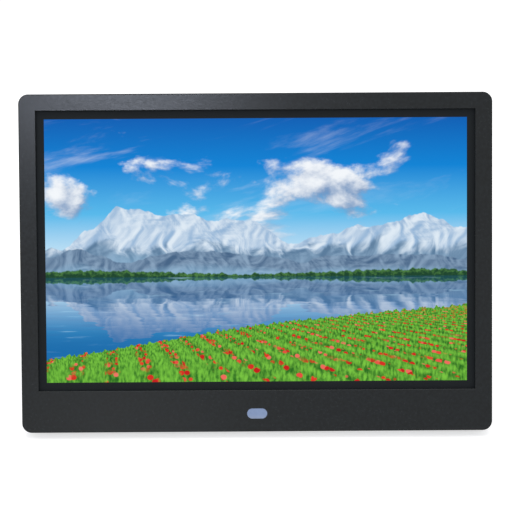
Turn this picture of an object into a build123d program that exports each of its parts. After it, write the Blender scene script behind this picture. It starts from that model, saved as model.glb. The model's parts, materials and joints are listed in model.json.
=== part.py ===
"""Digital photo frame with a 10.1 inch display, leaning back on its fold-out stand.

Every piece is drawn with the frame upright: X to the right as seen from the front, Y from the
bezel's face towards the back, Z up from the bezel's lower edge, all in millimetres. At the end the
whole frame is leaned back about its rubber feet, so that the feet and the stand rest on Z = 0.
"""

import math
import os

from build123d import *

# Display panel
ACTIVE_W = 217.0  # picture width
ACTIVE_H = 135.6  # picture height
SIDE_MARGIN = 4.0  # dark glass showing left and right of the picture
END_MARGIN = 4.2  # dark glass showing above and below the picture
PANEL_OVERLAP = 2.3  # panel hidden behind the bezel, all round
CELL_T = 1.2  # liquid crystal glass with its polarisers
FILM_T = 0.6  # diffuser and prism films
GUIDE_T = 2.0  # light guide plate
REFLECTOR_T = 0.2
TRAY_T = 0.5  # sheet steel of the panel's back tray
GUIDE_MARGIN = 2.0  # light guide past the picture, all round
LAYER_GAP = 0.1  # play around the loose layers of the panel
LED_COUNT = 24
LED_W = 3.0
LED_H = 1.0
LED_STRIP_T = 0.4
DRIVER_BOARD_W = 190.0
DRIVER_BOARD_H = 10.0
DRIVER_BOARD_T = 0.8
DRIVER_BOARD_RISE = 6.0  # above the panel's lower edge
FLEX_T = 0.15
FLEX_W = 20.0
FLEX_X = (-85.0, -35.0, 35.0, 85.0)

# Front bezel
RIM_WALL = 2.0
FACE_WALL = 1.8
RIM_DEPTH = 9.0
CORNER_R = 5.0
FACE_EDGE_R = 0.5
RIM_EDGE_R = 0.4
OPENING_CHAMFER = 0.2
CHIN = 21.5  # bezel face below the opening
GASKET_T = 0.4
GASKET_SETBACK = 0.5  # gasket kept back from the opening and from the panel's edge
PANEL_SIDE_ROOM = 2.25  # between the panel and the rear cover's lip
TAB_WALL = 1.5
TAB_GAP = 0.25
TAB_W = 12.0
TAB_REACH = 2.0  # behind the panel's upper edge
TAB_HOOK_T = 1.2
TAB_X = (-70.0, 0.0, 70.0)
RIB_T = 1.2
RIB_L = 20.0
RIB_Z = (50.0, 130.0)

# Infrared window and receiver
WINDOW_W = 10.3
WINDOW_H = 5.2
WINDOW_Z = 9.4
WINDOW_FIT = 0.06  # gap between the window and its slot, each side
WINDOW_FLANGE = 1.5
WINDOW_FLANGE_T = 0.8
IR_BOARD_W = 27.0
IR_BOARD_H = 10.5
IR_BOARD_T = 1.2
IR_BOARD_ROOM = 0.6  # above the rear cover's lower wall
IR_BOSS_X = 10.0
IR_BOSS_R = 2.2
IR_BOSS_H = 5.4
RECEIVER_W = 6.0
RECEIVER_H = 7.0
RECEIVER_T = 2.4
RECEIVER_LENS_R = 2.2
RECEIVER_LENS_H = 1.4

# Rear cover
COVER_WALL = 2.0
COVER_GAP = 0.2  # between the cover's lip and the bezel's rim
COVER_LIP = 3.5  # how far the cover goes into the bezel
TAPER_DEPTH = 6.0
TAPER_INSET = 9.0
PLATEAU_CORNER_R = 6.0
PLATEAU_EDGE_R = 1.6
SHOULDER_R = 2.0
HOOK_W = 9.0
HOOK_H = 0.8
HOOK_T = 1.2
HOOK_PLAY = 0.2
HOOK_X = (-100.0, -35.0, 35.0, 100.0)

# Screws
CASE_SCREW_R = 1.25
CASE_HEAD_R = 2.4
CASE_HEAD_H = 1.7
CASE_SCREW_L = 9.0
CASE_SCREW_X = (-104.0, -45.0, 45.0, 104.0)
CASE_SCREW_Z = 10.5
CASE_BOSS_R = 3.2
CASE_BOSS_TOP = 11.0
POCKET_FLOOR = 1.6
POCKET_PLAY = 0.45
POCKET_WALL = 1.4
SMALL_SCREW_R = 1.0
SMALL_HEAD_R = 1.9
SMALL_HEAD_H = 1.3
SMALL_SCREW_L = 5.0
SCREW_FIT = 0.02  # between a screw's core and its pilot hole
SCREW_PLAY = 0.2  # between a screw and a hole it passes through
SCREW_TIP_ROOM = 0.6
CROSS_W = 0.6
CROSS_DEPTH = 0.8
BRACKET_X = (-60.0, 60.0)
BRACKET_Z = 13.0
BRACKET_W = 12.0
BRACKET_T = 0.8
BRACKET_REACH = 4.5  # behind the panel's lower edge
BRACKET_BOSS_R = 3.0

# Main board and its parts
BOARD_W = 78.0
BOARD_H = 86.0
BOARD_T = 1.6
BOARD_Z = 42.0
BOARD_ROOM = 2.6  # between the panel and the board
BOARD_EDGE_GAP = 0.45
BOARD_BOSS_R = 3.0
BOARD_HOLE_INSET = 5.0
SOCKET_ROOM = 0.8  # between the tallest socket and the end of the cover's straight side
CHIP_ALONG = 24.0  # from the board's inner edge
PROCESSOR_W = 15.0
PROCESSOR_T = 1.4
PROCESSOR_RISE = 42.0  # above the board's lower edge
MEMORY_W = 11.0
MEMORY_H = 8.0
MEMORY_T = 1.1
MEMORY_RISE = (58.0, 68.0)
CAPACITOR_R = 2.5
CAPACITOR_H = 5.4
CAPACITOR_COUNT = 3
CAPACITOR_PITCH = 7.0
CAPACITOR_ALONG = 41.0
CAPACITOR_RISE = 66.0
INDUCTOR_W = 7.0
INDUCTOR_T = 4.0
INDUCTOR_ALONG = 41.0
INDUCTOR_RISE = 54.0
HEADER_W = 8.0
HEADER_H = 5.0
HEADER_T = 5.0
SMALL_HEADER_T = 4.4
HEADER_INSET = 5.4
HEADER_RISE = (18.0, 33.0, 48.0, 63.0)  # above the board's lower edge
RIBBON_W = 20.0
RIBBON_T = 0.3
RIBBON_BOARD_X = 30.0  # from the board's inner edge
CONNECTOR_W = 23.0
CONNECTOR_H = 5.0
CONNECTOR_T = 1.7
CONNECTOR_RISE = 3.0

# Sockets along the board's outer edge
SOCKET_SETBACK = 0.5  # sockets' mouths behind the cover's outer face
CUTOUT_PLAY = 0.3
CARD_W = 28.0
CARD_DEPTH = 27.0
CARD_H = 3.4
CARD_WALL = 0.5
CARD_SLOT_W = 24.4
CARD_SLOT_H = 2.3
CARD_RISE = 18.0
USB_W = 13.2
USB_H = 5.9
USB_DEPTH = 14.0
USB_WALL = 0.35
USB_BACK = 4.0
USB_TONGUE_W = 11.0
USB_TONGUE_T = 1.8
USB_TONGUE_SETBACK = 1.0
USB_RISE = 43.0
AUDIO_W = 6.6
AUDIO_H = 5.4
AUDIO_DEPTH = 13.0
AUDIO_BORE_R = 1.8
AUDIO_BORE_L = 12.0
AUDIO_RISE = 57.0
DC_W = 9.0
DC_H = 6.5
DC_DEPTH = 13.0
DC_BORE_R = 2.85
DC_BORE_L = 10.0
DC_PIN_R = 1.05
DC_PIN_SETBACK = 1.0
DC_RISE = 70.0

# Speakers
SPEAKER_R = 14.0
SPEAKER_X = 75.0
SPEAKER_Z = 27.5
SPEAKER_FLANGE_T = 1.0
SPEAKER_CUP_R = 11.5
SPEAKER_CUP_H = 3.2
SPEAKER_CUP_WALL = 0.8
SPEAKER_GASKET_T = 0.8
SPEAKER_GASKET_W = 2.0
SPEAKER_MAGNET_R = 8.0
SPEAKER_MAGNET_H = 3.0
SPEAKER_CAP_R = 4.0
CONE_T = 0.4
CONE_GAP = 0.2
SPEAKER_WALL = 1.4
SPEAKER_WALL_LIP = 0.4  # locating wall past the speaker's flange
SPEAKER_FIT = 0.3
GRILLE_R = 11.0
GRILLE_SLOT = 1.5
GRILLE_PITCH = 3.2
GRILLE_ROWS = 7

# Keys
KEYS = ("power", "menu", "previous", "next", "enter", "exit")
KEY_W = 8.0
KEY_H = 4.6
KEY_PITCH = 11.5
KEY_X = -70.0  # middle of the row
KEY_Z = 151.0
KEY_PROUD = 0.9
KEY_PLAY = 0.25
KEY_EDGE_R = 0.4
KEY_FLANGE = 0.8
KEY_FLANGE_T = 1.0
KEY_REST_GAP = 0.3
KEY_STEM_R = 1.5
KEY_STEM_L = 0.8
KEY_TRAVEL = 0.5
SWITCH_W = 6.0
SWITCH_H = 3.5
PLUNGER_R = 1.7
PLUNGER_PROUD = 0.8
PLUNGER_SUNK = 1.0
PLUNGER_PLAY = 0.2
PLUNGER_OVERTRAVEL = 0.2
KEY_BOARD_H = 12.0
KEY_BOARD_T = 1.2
KEY_BOSS_R = 2.2
KEY_BOSS_GAP = 0.5

# Stand
LEAN_DEG = 17.0  # of the frame, from upright
OPEN_DEG = 28.0  # of the stand, from the frame's back
HINGE_Z = 100.0
LEG_W = 60.0
LEG_TIP_W = 46.0
LEG_T = 6.0
LEG_SIDE_GAP = 0.6
LEG_FLOOR_GAP = 0.5
LEG_SKIN = 1.8
LEG_EDGE_R = 0.8
LEG_CORNER_R = 4.0
LEG_RIB_T = 1.6
LEG_GROOVES = 4
LEG_GROOVE_W = 1.2
LEG_GROOVE_DEPTH = 0.5
LEG_GROOVE_PITCH = 3.0
LEG_GROOVE_RISE = 9.0
RECESS_HEAD = 1.0  # between the swinging heel and the recess's upper end
HEEL = 3.0
BARREL_R = 2.9
BARREL_GAP = 0.3  # between the barrel and the recess floor
STOP_GAP = 0.05
PIN_R = 1.5
PIN_RUNNING = 0.05
PIN_SEAT = 0.02
PIN_END = 2.2
PIN_HEAD_R = 2.2
PIN_HEAD_T = 0.8
PIN_HEAD_GAP = 0.2  # between the pin's head and the cover's back wall
CLIP_R = 2.2
CLIP_T = 0.6
CLIP_GAP = 0.1
PAD_T = 1.2
PAD_GRIP = 5.0  # how far the pad's tongue goes up inside the leg
PAD_FIT = 0.1
FOOT_X = 80.0
FOOT_W = 26.0
FOOT_MIN_T = 0.8
FOOT_FROM_RIM = 2.0
FOOT_FROM_SHOULDER = 0.8
FOOT_EDGE_R = 1.5

# Wall hooks and vents
KEYHOLE_X = 60.0
KEYHOLE_Z = 131.0
KEYHOLE_R = 4.5
KEYHOLE_SLOT_W = 4.5
KEYHOLE_RUN = 7.5
VENT_W = 2.0
VENT_PITCH = 5.0
TOP_VENT_L = 13.0
TOP_VENT_COUNT = 13
TOP_VENT_Z = 134.0
SIDE_VENT_L = 34.0
SIDE_VENT_COUNT = 8
SIDE_VENT_X = 75.0
SIDE_VENT_Z = 82.0

# Cables inside
CABLE_R = 0.8
CABLE_BEND = 4.0

# Sizes that follow
OPENING_W = ACTIVE_W + 2 * SIDE_MARGIN
OPENING_H = ACTIVE_H + 2 * END_MARGIN
PANEL_W = OPENING_W + 2 * PANEL_OVERLAP
PANEL_H = OPENING_H + 2 * PANEL_OVERLAP
COVER_SETBACK = RIM_WALL + COVER_GAP
SIDE_BORDER = PANEL_OVERLAP + PANEL_SIDE_ROOM + COVER_WALL + COVER_SETBACK
TOP_BORDER = PANEL_OVERLAP + TAB_GAP + TAB_WALL + TAB_GAP + COVER_WALL + COVER_SETBACK
FRAME_W = OPENING_W + 2 * SIDE_BORDER
FRAME_H = CHIN + OPENING_H + TOP_BORDER
OPENING_MID = CHIN + OPENING_H / 2
PANEL_LOW = CHIN - PANEL_OVERLAP
PANEL_TOP = PANEL_LOW + PANEL_H
CELL_Y = FACE_WALL + GASKET_T
FILM_Y = CELL_Y + CELL_T
GUIDE_Y = FILM_Y + FILM_T
REFLECTOR_Y = GUIDE_Y + GUIDE_T
TRAY_Y = REFLECTOR_Y + REFLECTOR_T
PANEL_REAR = TRAY_Y + TRAY_T
GUIDE_W = ACTIVE_W + 2 * GUIDE_MARGIN
GUIDE_H = ACTIVE_H + 2 * GUIDE_MARGIN
GUIDE_LOW = OPENING_MID - GUIDE_H / 2
LED_ROOM = LED_H + LED_STRIP_T
COVER_W = FRAME_W - 2 * COVER_SETBACK
COVER_H = FRAME_H - 2 * COVER_SETBACK
COVER_LOW = COVER_SETBACK
COVER_R = CORNER_R - COVER_SETBACK
LIP_Y = RIM_DEPTH - COVER_LIP
BOARD_Y = PANEL_REAR + BOARD_ROOM
BOARD_REAR = BOARD_Y + BOARD_T
SIDE_END = BOARD_REAR + max(CARD_H, USB_H, AUDIO_H, DC_H) + SOCKET_ROOM
DEPTH = SIDE_END + TAPER_DEPTH
PLATEAU_IN = DEPTH - COVER_WALL
BOARD_X1 = COVER_W / 2 - COVER_WALL - BOARD_EDGE_GAP
BOARD_X0 = BOARD_X1 - BOARD_W
MOUTH_X = COVER_W / 2 - SOCKET_SETBACK
IR_BOARD_Y = FACE_WALL + IR_BOSS_H
IR_BOARD_LOW = COVER_LOW + COVER_WALL + IR_BOARD_ROOM
IR_HEADER_Z = IR_BOARD_LOW + IR_BOARD_H - HEADER_H / 2
HINGE_Y = PLATEAU_IN - PIN_HEAD_GAP - max(PIN_HEAD_R, CLIP_R)
RECESS_FLOOR = HINGE_Y - BARREL_R - BARREL_GAP
RECESS_W = LEG_W + 2 * LEG_SIDE_GAP
LEG_IN = RECESS_FLOOR + LEG_FLOOR_GAP
LEG_OUT = LEG_IN + LEG_T
RECESS_TOP = HINGE_Z + math.hypot(HEEL, LEG_OUT - HINGE_Y) + RECESS_HEAD
FLANGE_OUT = PLATEAU_IN - KEY_REST_GAP
STEM_END = FLANGE_OUT - KEY_FLANGE_T - KEY_STEM_L
SWITCH_TOP = STEM_END - PLUNGER_PROUD
KEY_BOARD_REAR = SWITCH_TOP - SWITCH_H
KEY_BOARD_Y = KEY_BOARD_REAR - KEY_BOARD_T
KEY_OFFSETS = [(i - (len(KEYS) - 1) / 2) * KEY_PITCH for i in range(len(KEYS))]
KEY_BOSS_X = KEY_OFFSETS[-1] + KEY_W / 2 + KEY_FLANGE + KEY_BOSS_GAP + KEY_BOSS_R
KEY_BOARD_W = 2 * (KEY_BOSS_X + KEY_BOSS_R)
KEY_HEADER_Z = KEY_Z - KEY_BOARD_H / 2 + HEADER_H / 2
HEADER_Y = BOARD_REAR + HEADER_T / 2
HEADER_X = BOARD_X0 + HEADER_INSET

# The floor that the frame stands on, as a line in Y and Z while the frame is upright
FOOT_FRONT = RIM_DEPTH + FOOT_FROM_RIM
FOOT_BACK = SIDE_END - FOOT_FROM_SHOULDER
FLOOR_Y = FOOT_BACK
FLOOR_Z = COVER_LOW - FOOT_MIN_T
FLOOR_SLOPE = math.tan(math.radians(LEAN_DEG))
FAR = 4 * FRAME_W  # larger than the frame, for cutting planes


# Helpers for plain shapes


def block(x0, x1, y0, y1, z0, z1):
    """Box between two opposite corners."""
    return Pos(x0, y0, z0) * Box(x1 - x0, y1 - y0, z1 - z0, align=(Align.MIN,) * 3)


def prism(outline, y0, y1):
    """Solid from an outline drawn in X and Z, from depth y0 back to depth y1."""
    return Pos(0, y1, 0) * extrude(Plane.XZ * outline, y1 - y0, dir=(0, -1, 0))


def at_depth(outline, depth):
    """Flat outline drawn in X and Z, set at one depth."""
    return Pos(0, depth, 0) * (Plane.XZ * outline)


def rod_y(x, z, radius, y0, y1):
    """Cylinder along Y."""
    return Pos(x, (y0 + y1) / 2, z) * Rot(90, 0, 0) * Cylinder(radius, y1 - y0)


def rod_x(y, z, radius, x0, x1):
    """Cylinder along X."""
    return Pos((x0 + x1) / 2, y, z) * Rot(0, 90, 0) * Cylinder(radius, x1 - x0)


def ring(outer_w, outer_h, inner_w, inner_h, mid_z, y0, y1):
    """Flat rectangular ring about X = 0."""
    outline = Pos(0, mid_z) * (Rectangle(outer_w, outer_h) - Rectangle(inner_w, inner_h))
    return prism(outline, y0, y1)


def turned(points, x, z):
    """Solid of revolution about the Y direction, from (radius, y) points."""
    return Pos(x, 0, z) * revolve(make_face(Polyline(*points, close=True)), Axis.Y)


def edges_at_depth(shape, depth):
    """Edges that lie wholly at one depth."""
    return shape.edges().filter_by_position(Axis.Y, depth, depth)


def below_floor():
    """Everything under the floor, seen from the upright frame."""
    half = Pos(0, 0, -FAR / 2) * Box(FAR, FAR, FAR)
    return Pos(0, FLOOR_Y, FLOOR_Z) * Rot(LEAN_DEG, 0, 0) * half


def group(pieces):
    """Several separate solids that share one node."""
    return Compound([solid for piece in pieces for solid in piece.solids()])


def pan_screw(x, z, seat, radius, length, head_r, head_h):
    """Pan-head screw whose head stands on depth seat and whose shank points to the front."""
    head = rod_y(x, z, head_r, seat, seat + head_h)
    head = chamfer(edges_at_depth(head, seat + head_h), head_h / 3)
    top = seat + head_h
    arm = head_r * 0.6
    for wide, tall in ((arm, CROSS_W / 2), (CROSS_W / 2, arm)):
        head -= block(x - wide, x + wide, top - CROSS_DEPTH, top, z - tall, z + tall)
    return head + rod_y(x, z, radius, seat - length, seat)


def front_screw(x, z, seat, radius, length, head_r, head_h):
    """The same screw driven from the front, with its shank pointing to the back."""
    return mirror(pan_screw(x, z, -seat, radius, length, head_r, head_h), Plane.XZ)


def cable(points):
    """Round cable along straight runs joined by arcs."""
    path = FilletPolyline(*points, radius=CABLE_BEND)
    section = Plane(origin=path @ 0, z_dir=path % 0) * Circle(CABLE_R)
    return sweep(section, path=path)


# Front bezel and what it carries


def bezel_boss(x, z, radius, top, pilot_r, depth):
    """Boss on the back of the bezel's face, with a pilot hole open to the back."""
    hole = rod_y(x, z, pilot_r, top - depth, top)
    return rod_y(x, z, radius, FACE_WALL, top) - hole


def panel_tab(x):
    """Post above the panel with a hook behind the panel's upper edge."""
    low = PANEL_TOP + TAB_GAP
    hook_y = PANEL_REAR + LAYER_GAP
    left, right = x - TAB_W / 2, x + TAB_W / 2
    post = block(left, right, FACE_WALL, hook_y + TAB_HOOK_T, low, low + TAB_WALL)
    hook = block(left, right, hook_y, hook_y + TAB_HOOK_T, PANEL_TOP - TAB_REACH, low)
    return post + hook


def panel_ribs():
    """Ribs that hold the panel sideways."""
    for z in RIB_Z:
        for side in (-1, 1):
            near = side * (PANEL_W / 2 + TAB_GAP)
            far = near + side * RIB_T
            x0, x1 = sorted((near, far))
            yield block(x0, x1, FACE_WALL, PANEL_REAR, z - RIB_L / 2, z + RIB_L / 2)


def front_bezel():
    """Moulded front shell: face with the picture opening, rim, bosses, tabs and ribs."""
    mid = Pos(0, FRAME_H / 2)
    body = prism(mid * RectangleRounded(FRAME_W, FRAME_H, CORNER_R), 0, RIM_DEPTH)
    body = fillet(edges_at_depth(body, 0), FACE_EDGE_R)
    body = fillet(edges_at_depth(body, RIM_DEPTH), RIM_EDGE_R)
    inner_w = FRAME_W - 2 * RIM_WALL
    inner_h = FRAME_H - 2 * RIM_WALL
    inside = mid * RectangleRounded(inner_w, inner_h, CORNER_R - RIM_WALL)
    body -= prism(inside, FACE_WALL, RIM_DEPTH)
    opening = Pos(0, OPENING_MID) * Rectangle(OPENING_W, OPENING_H)
    flare = Pos(0, OPENING_MID) * Rectangle(OPENING_W + 2 * OPENING_CHAMFER, OPENING_H + 2 * OPENING_CHAMFER)
    body -= prism(opening, 0, FACE_WALL)
    body -= loft([at_depth(flare, 0), at_depth(opening, OPENING_CHAMFER)])
    slot = SlotOverall(WINDOW_W + 2 * WINDOW_FIT, WINDOW_H + 2 * WINDOW_FIT)
    body -= prism(Pos(0, WINDOW_Z) * slot, 0, FACE_WALL)
    pilot = CASE_SCREW_R + SCREW_FIT
    case_depth = CASE_SCREW_L - POCKET_FLOOR + SCREW_TIP_ROOM
    small_depth = SMALL_SCREW_L - BRACKET_T + SCREW_TIP_ROOM / 2
    small_pilot = SMALL_SCREW_R + SCREW_FIT
    for x in CASE_SCREW_X:
        body += bezel_boss(x, CASE_SCREW_Z, CASE_BOSS_R, CASE_BOSS_TOP, pilot, case_depth)
    for x in BRACKET_X:
        body += bezel_boss(x, BRACKET_Z, BRACKET_BOSS_R, PANEL_REAR, small_pilot, small_depth)
    for x in (-IR_BOSS_X, IR_BOSS_X):
        z = IR_BOARD_LOW + IR_BOARD_H / 2
        body += bezel_boss(x, z, IR_BOSS_R, IR_BOARD_Y, small_pilot, small_depth)
    for x in TAB_X:
        body += panel_tab(x)
    for rib in panel_ribs():
        body += rib
    for x in HOOK_X:
        body -= hook_pocket(x)
    return body


def hook_pocket(x):
    """Pocket in the bezel's upper rim that one of the rear cover's hooks snaps into."""
    top = FRAME_H - RIM_WALL
    half = HOOK_W / 2 + HOOK_PLAY
    y0 = LIP_Y + HOOK_T / 2 - HOOK_PLAY
    return block(x - half, x + half, y0, y0 + HOOK_T + 2 * HOOK_PLAY, top, top + HOOK_H)


def ir_window():
    """Pale pill-shaped window, flush with the bezel's face and flanged behind it."""
    lens = prism(Pos(0, WINDOW_Z) * SlotOverall(WINDOW_W, WINDOW_H), 0, FACE_WALL)
    flange_w = WINDOW_W + 2 * WINDOW_FLANGE
    flange = SlotOverall(flange_w, WINDOW_H + 2 * WINDOW_FLANGE)
    return lens + prism(Pos(0, WINDOW_Z) * flange, FACE_WALL, FACE_WALL + WINDOW_FLANGE_T)


def ir_board():
    """Small board behind the window."""
    top = IR_BOARD_LOW + IR_BOARD_H
    board = block(-IR_BOARD_W / 2, IR_BOARD_W / 2, IR_BOARD_Y, IR_BOARD_Y + IR_BOARD_T, IR_BOARD_LOW, top)
    for x in (-IR_BOSS_X, IR_BOSS_X):
        hole_r = SMALL_SCREW_R + SCREW_PLAY
        board -= rod_y(x, (IR_BOARD_LOW + top) / 2, hole_r, IR_BOARD_Y, IR_BOARD_Y + IR_BOARD_T)
    return board


def ir_receiver():
    """Infrared receiver, its lens facing the window."""
    front = IR_BOARD_Y - RECEIVER_T
    z = IR_BOARD_LOW + IR_BOARD_H / 2
    body = block(-RECEIVER_W / 2, RECEIVER_W / 2, front, IR_BOARD_Y, z - RECEIVER_H / 2, z + RECEIVER_H / 2)
    lens = rod_y(0, z, RECEIVER_LENS_R, front - RECEIVER_LENS_H, front)
    lens = fillet(edges_at_depth(lens, front - RECEIVER_LENS_H), RECEIVER_LENS_H * 0.8)
    return body + lens


# Display panel, layer by layer


def lcd_gasket():
    """Foam between the bezel and the glass."""
    inner_w = OPENING_W + 2 * GASKET_SETBACK
    inner_h = OPENING_H + 2 * GASKET_SETBACK
    outer_w = PANEL_W - 2 * GASKET_SETBACK
    outer_h = PANEL_H - 2 * GASKET_SETBACK
    return ring(outer_w, outer_h, inner_w, inner_h, OPENING_MID, FACE_WALL, CELL_Y)


def panel_sheet(width, height, y0, thickness):
    """One flat layer of the panel, centred on the picture."""
    low = OPENING_MID - height / 2
    return block(-width / 2, width / 2, y0, y0 + thickness, low, low + height)


def lcd_tray():
    """Steel tray that holds the backlight."""
    box = panel_sheet(PANEL_W, PANEL_H, FILM_Y, PANEL_REAR - FILM_Y)
    return box - panel_sheet(PANEL_W - 2 * TRAY_T, PANEL_H - 2 * TRAY_T, FILM_Y, TRAY_Y - FILM_Y)


def lcd_mould_frame():
    """White plastic frame inside the tray, around the light guide and the light strip."""
    outer_w = PANEL_W - 2 * TRAY_T - 2 * LAYER_GAP
    outer_h = PANEL_H - 2 * TRAY_T - 2 * LAYER_GAP
    inner_w = GUIDE_W + 2 * LAYER_GAP
    inner_h = GUIDE_H + 2 * LAYER_GAP
    body = ring(outer_w, outer_h, inner_w, inner_h, OPENING_MID, FILM_Y, TRAY_Y)
    room = GUIDE_LOW - LED_ROOM - LAYER_GAP
    half = GUIDE_W / 2 + LAYER_GAP
    return body - block(-half, half, FILM_Y, TRAY_Y, room, GUIDE_LOW)


def led_x():
    """Middles of the backlight's light emitters."""
    pitch = ACTIVE_W / LED_COUNT
    return [(i - (LED_COUNT - 1) / 2) * pitch for i in range(LED_COUNT)]


def led_strip():
    """Flexible strip that carries the emitters, under the light guide."""
    low = GUIDE_LOW - LED_ROOM
    return block(-ACTIVE_W / 2, ACTIVE_W / 2, GUIDE_Y, TRAY_Y, low, low + LED_STRIP_T)


def backlight_leds():
    """Row of emitters that shine up into the light guide."""
    low = GUIDE_LOW - LED_H
    return group(block(x - LED_W / 2, x + LED_W / 2, GUIDE_Y, TRAY_Y, low, GUIDE_LOW) for x in led_x())


def lcd_driver_board():
    """Narrow board on the back of the tray."""
    low = PANEL_LOW + DRIVER_BOARD_RISE
    half = DRIVER_BOARD_W / 2
    return block(-half, half, PANEL_REAR, PANEL_REAR + DRIVER_BOARD_T, low, low + DRIVER_BOARD_H)


def lcd_flexes():
    """Films that fold round the panel's lower edge, from the glass to the driver board."""
    low = PANEL_LOW - FLEX_T
    rear = PANEL_REAR + FLEX_T
    board_low = PANEL_LOW + DRIVER_BOARD_RISE
    solids = []
    for x in FLEX_X:
        left, right = x - FLEX_W / 2, x + FLEX_W / 2
        under = block(left, right, CELL_Y + CELL_T / 2, rear, low, PANEL_LOW)
        solids.append(under + block(left, right, PANEL_REAR, rear, PANEL_LOW, board_low))
    return group(solids)


def lcd_brackets():
    """Steel straps from bosses in the chin to the panel's back."""
    solids = []
    for x in BRACKET_X:
        left, right = x - BRACKET_W / 2, x + BRACKET_W / 2
        low = BRACKET_Z - BRACKET_BOSS_R
        strap = block(left, right, PANEL_REAR, PANEL_REAR + BRACKET_T, low, PANEL_LOW + BRACKET_REACH)
        hole_r = SMALL_SCREW_R + SCREW_PLAY
        solids.append(strap - rod_y(x, BRACKET_Z, hole_r, PANEL_REAR, PANEL_REAR + BRACKET_T))
    return group(solids)


# Main board and what stands on it


def board_holes():
    """Middles of the main board's four screw holes, in X and Z."""
    left = BOARD_X0 + BOARD_HOLE_INSET
    right = MOUTH_X - CARD_DEPTH - BOARD_HOLE_INSET - BOARD_BOSS_R
    low = BOARD_Z + BOARD_HOLE_INSET
    high = BOARD_Z + BOARD_H - BOARD_HOLE_INSET
    return [(x, z) for x in (left, right) for z in (low, high)]


def main_board():
    """Main circuit board."""
    board = block(BOARD_X0, BOARD_X1, BOARD_Y, BOARD_REAR, BOARD_Z, BOARD_Z + BOARD_H)
    for x, z in board_holes():
        board -= rod_y(x, z, SMALL_SCREW_R + SCREW_PLAY, BOARD_Y, BOARD_REAR)
    return board


def on_board(along, rise, width, height, thickness):
    """Block on the board's back, its middle given from the board's inner lower corner."""
    x, z = BOARD_X0 + along, BOARD_Z + rise
    y1 = BOARD_REAR + thickness
    return block(x - width / 2, x + width / 2, BOARD_REAR, y1, z - height / 2, z + height / 2)


def board_chips():
    """Processor with two memory chips above it."""
    chips = [on_board(CHIP_ALONG, PROCESSOR_RISE, PROCESSOR_W, PROCESSOR_W, PROCESSOR_T)]
    for rise in MEMORY_RISE:
        chips.append(on_board(CHIP_ALONG, rise, MEMORY_W, MEMORY_H, MEMORY_T))
    return group(chips)


def board_capacitors():
    """Round electrolytic capacitors near the power socket."""
    solids = []
    for i in range(CAPACITOR_COUNT):
        x = BOARD_X0 + CAPACITOR_ALONG + i * CAPACITOR_PITCH
        z = BOARD_Z + CAPACITOR_RISE
        can = rod_y(x, z, CAPACITOR_R, BOARD_REAR, BOARD_REAR + CAPACITOR_H)
        solids.append(fillet(edges_at_depth(can, BOARD_REAR + CAPACITOR_H), CAPACITOR_R / 6))
    return group(solids)


def wire_headers():
    """Headers for both speakers, the keys and infrared, and at the far ends of the last two cables."""
    half = HEADER_H / 2
    y1 = BOARD_REAR + HEADER_T
    x1 = HEADER_X + HEADER_W
    solids = []
    for rise in HEADER_RISE:
        z = BOARD_Z + rise
        solids.append(block(HEADER_X, x1, BOARD_REAR, y1, z - half, z + half))
    y0 = IR_BOARD_Y + IR_BOARD_T
    solids.append(block(-half, half, y0, y0 + SMALL_HEADER_T, IR_HEADER_Z - half, IR_HEADER_Z + half))
    x = KEY_X + KEY_OFFSETS[-1]
    y0 = KEY_BOARD_Y - SMALL_HEADER_T
    solids.append(block(x - half, x + half, y0, KEY_BOARD_Y, KEY_HEADER_Z - half, KEY_HEADER_Z + half))
    return group(solids)


def ribbon_span():
    """Lower and upper end of the display ribbon, in Z."""
    driver_top = PANEL_LOW + DRIVER_BOARD_RISE + DRIVER_BOARD_H
    return driver_top - CONNECTOR_RISE, BOARD_Z + CONNECTOR_RISE


def display_connectors():
    """Flat connectors on the driver board's back and on the main board's front."""
    x = BOARD_X0 + RIBBON_BOARD_X
    left, right = x - CONNECTOR_W / 2, x + CONNECTOR_W / 2
    low, high = ribbon_span()
    rear = PANEL_REAR + DRIVER_BOARD_T
    lower = block(left, right, rear, BOARD_Y - LAYER_GAP, low - CONNECTOR_H, low)
    upper = block(left, right, BOARD_Y - CONNECTOR_T, BOARD_Y, high, high + CONNECTOR_H)
    return group([lower, upper])


def display_ribbon():
    """Flat ribbon between the two display connectors."""
    x = BOARD_X0 + RIBBON_BOARD_X
    low, high = ribbon_span()
    y0 = BOARD_Y - CONNECTOR_T / 2 - RIBBON_T / 2
    return block(x - RIBBON_W / 2, x + RIBBON_W / 2, y0, y0 + RIBBON_T, low, high)


# Sockets on the board's outer edge


def socket_box(rise, width, height, depth):
    """Outer box of a socket on the board, its mouth towards +X, its middle at that rise."""
    z = BOARD_Z + rise
    y1 = BOARD_REAR + height
    return block(MOUTH_X - depth, MOUTH_X, BOARD_REAR, y1, z - width / 2, z + width / 2)


def card_slot(play=0.0, depth=CARD_DEPTH):
    """Space for a memory card."""
    z = BOARD_Z + CARD_RISE
    y0 = BOARD_REAR + CARD_WALL
    half = CARD_SLOT_W / 2 + play
    x0 = MOUTH_X - depth + CARD_WALL
    return block(x0, MOUTH_X, y0 - play, y0 + CARD_SLOT_H + play, z - half, z + half)


def card_socket():
    """Memory card socket: plastic tray, open above."""
    tray = socket_box(CARD_RISE, CARD_W, CARD_WALL + CARD_SLOT_H, CARD_DEPTH)
    return tray - card_slot()


def card_socket_shield():
    """Steel lid of the memory card socket."""
    low = CARD_WALL + CARD_SLOT_H
    return socket_box(CARD_RISE, CARD_W, CARD_H, CARD_DEPTH) - socket_box(CARD_RISE, CARD_W, low, CARD_DEPTH)


def usb_inside():
    """Hollow of the USB socket, open at its mouth."""
    z = BOARD_Z + USB_RISE
    half = USB_W / 2 - USB_WALL
    y0, y1 = BOARD_REAR + USB_WALL, BOARD_REAR + USB_H - USB_WALL
    return block(MOUTH_X - USB_DEPTH, MOUTH_X, y0, y1, z - half, z + half)


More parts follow.
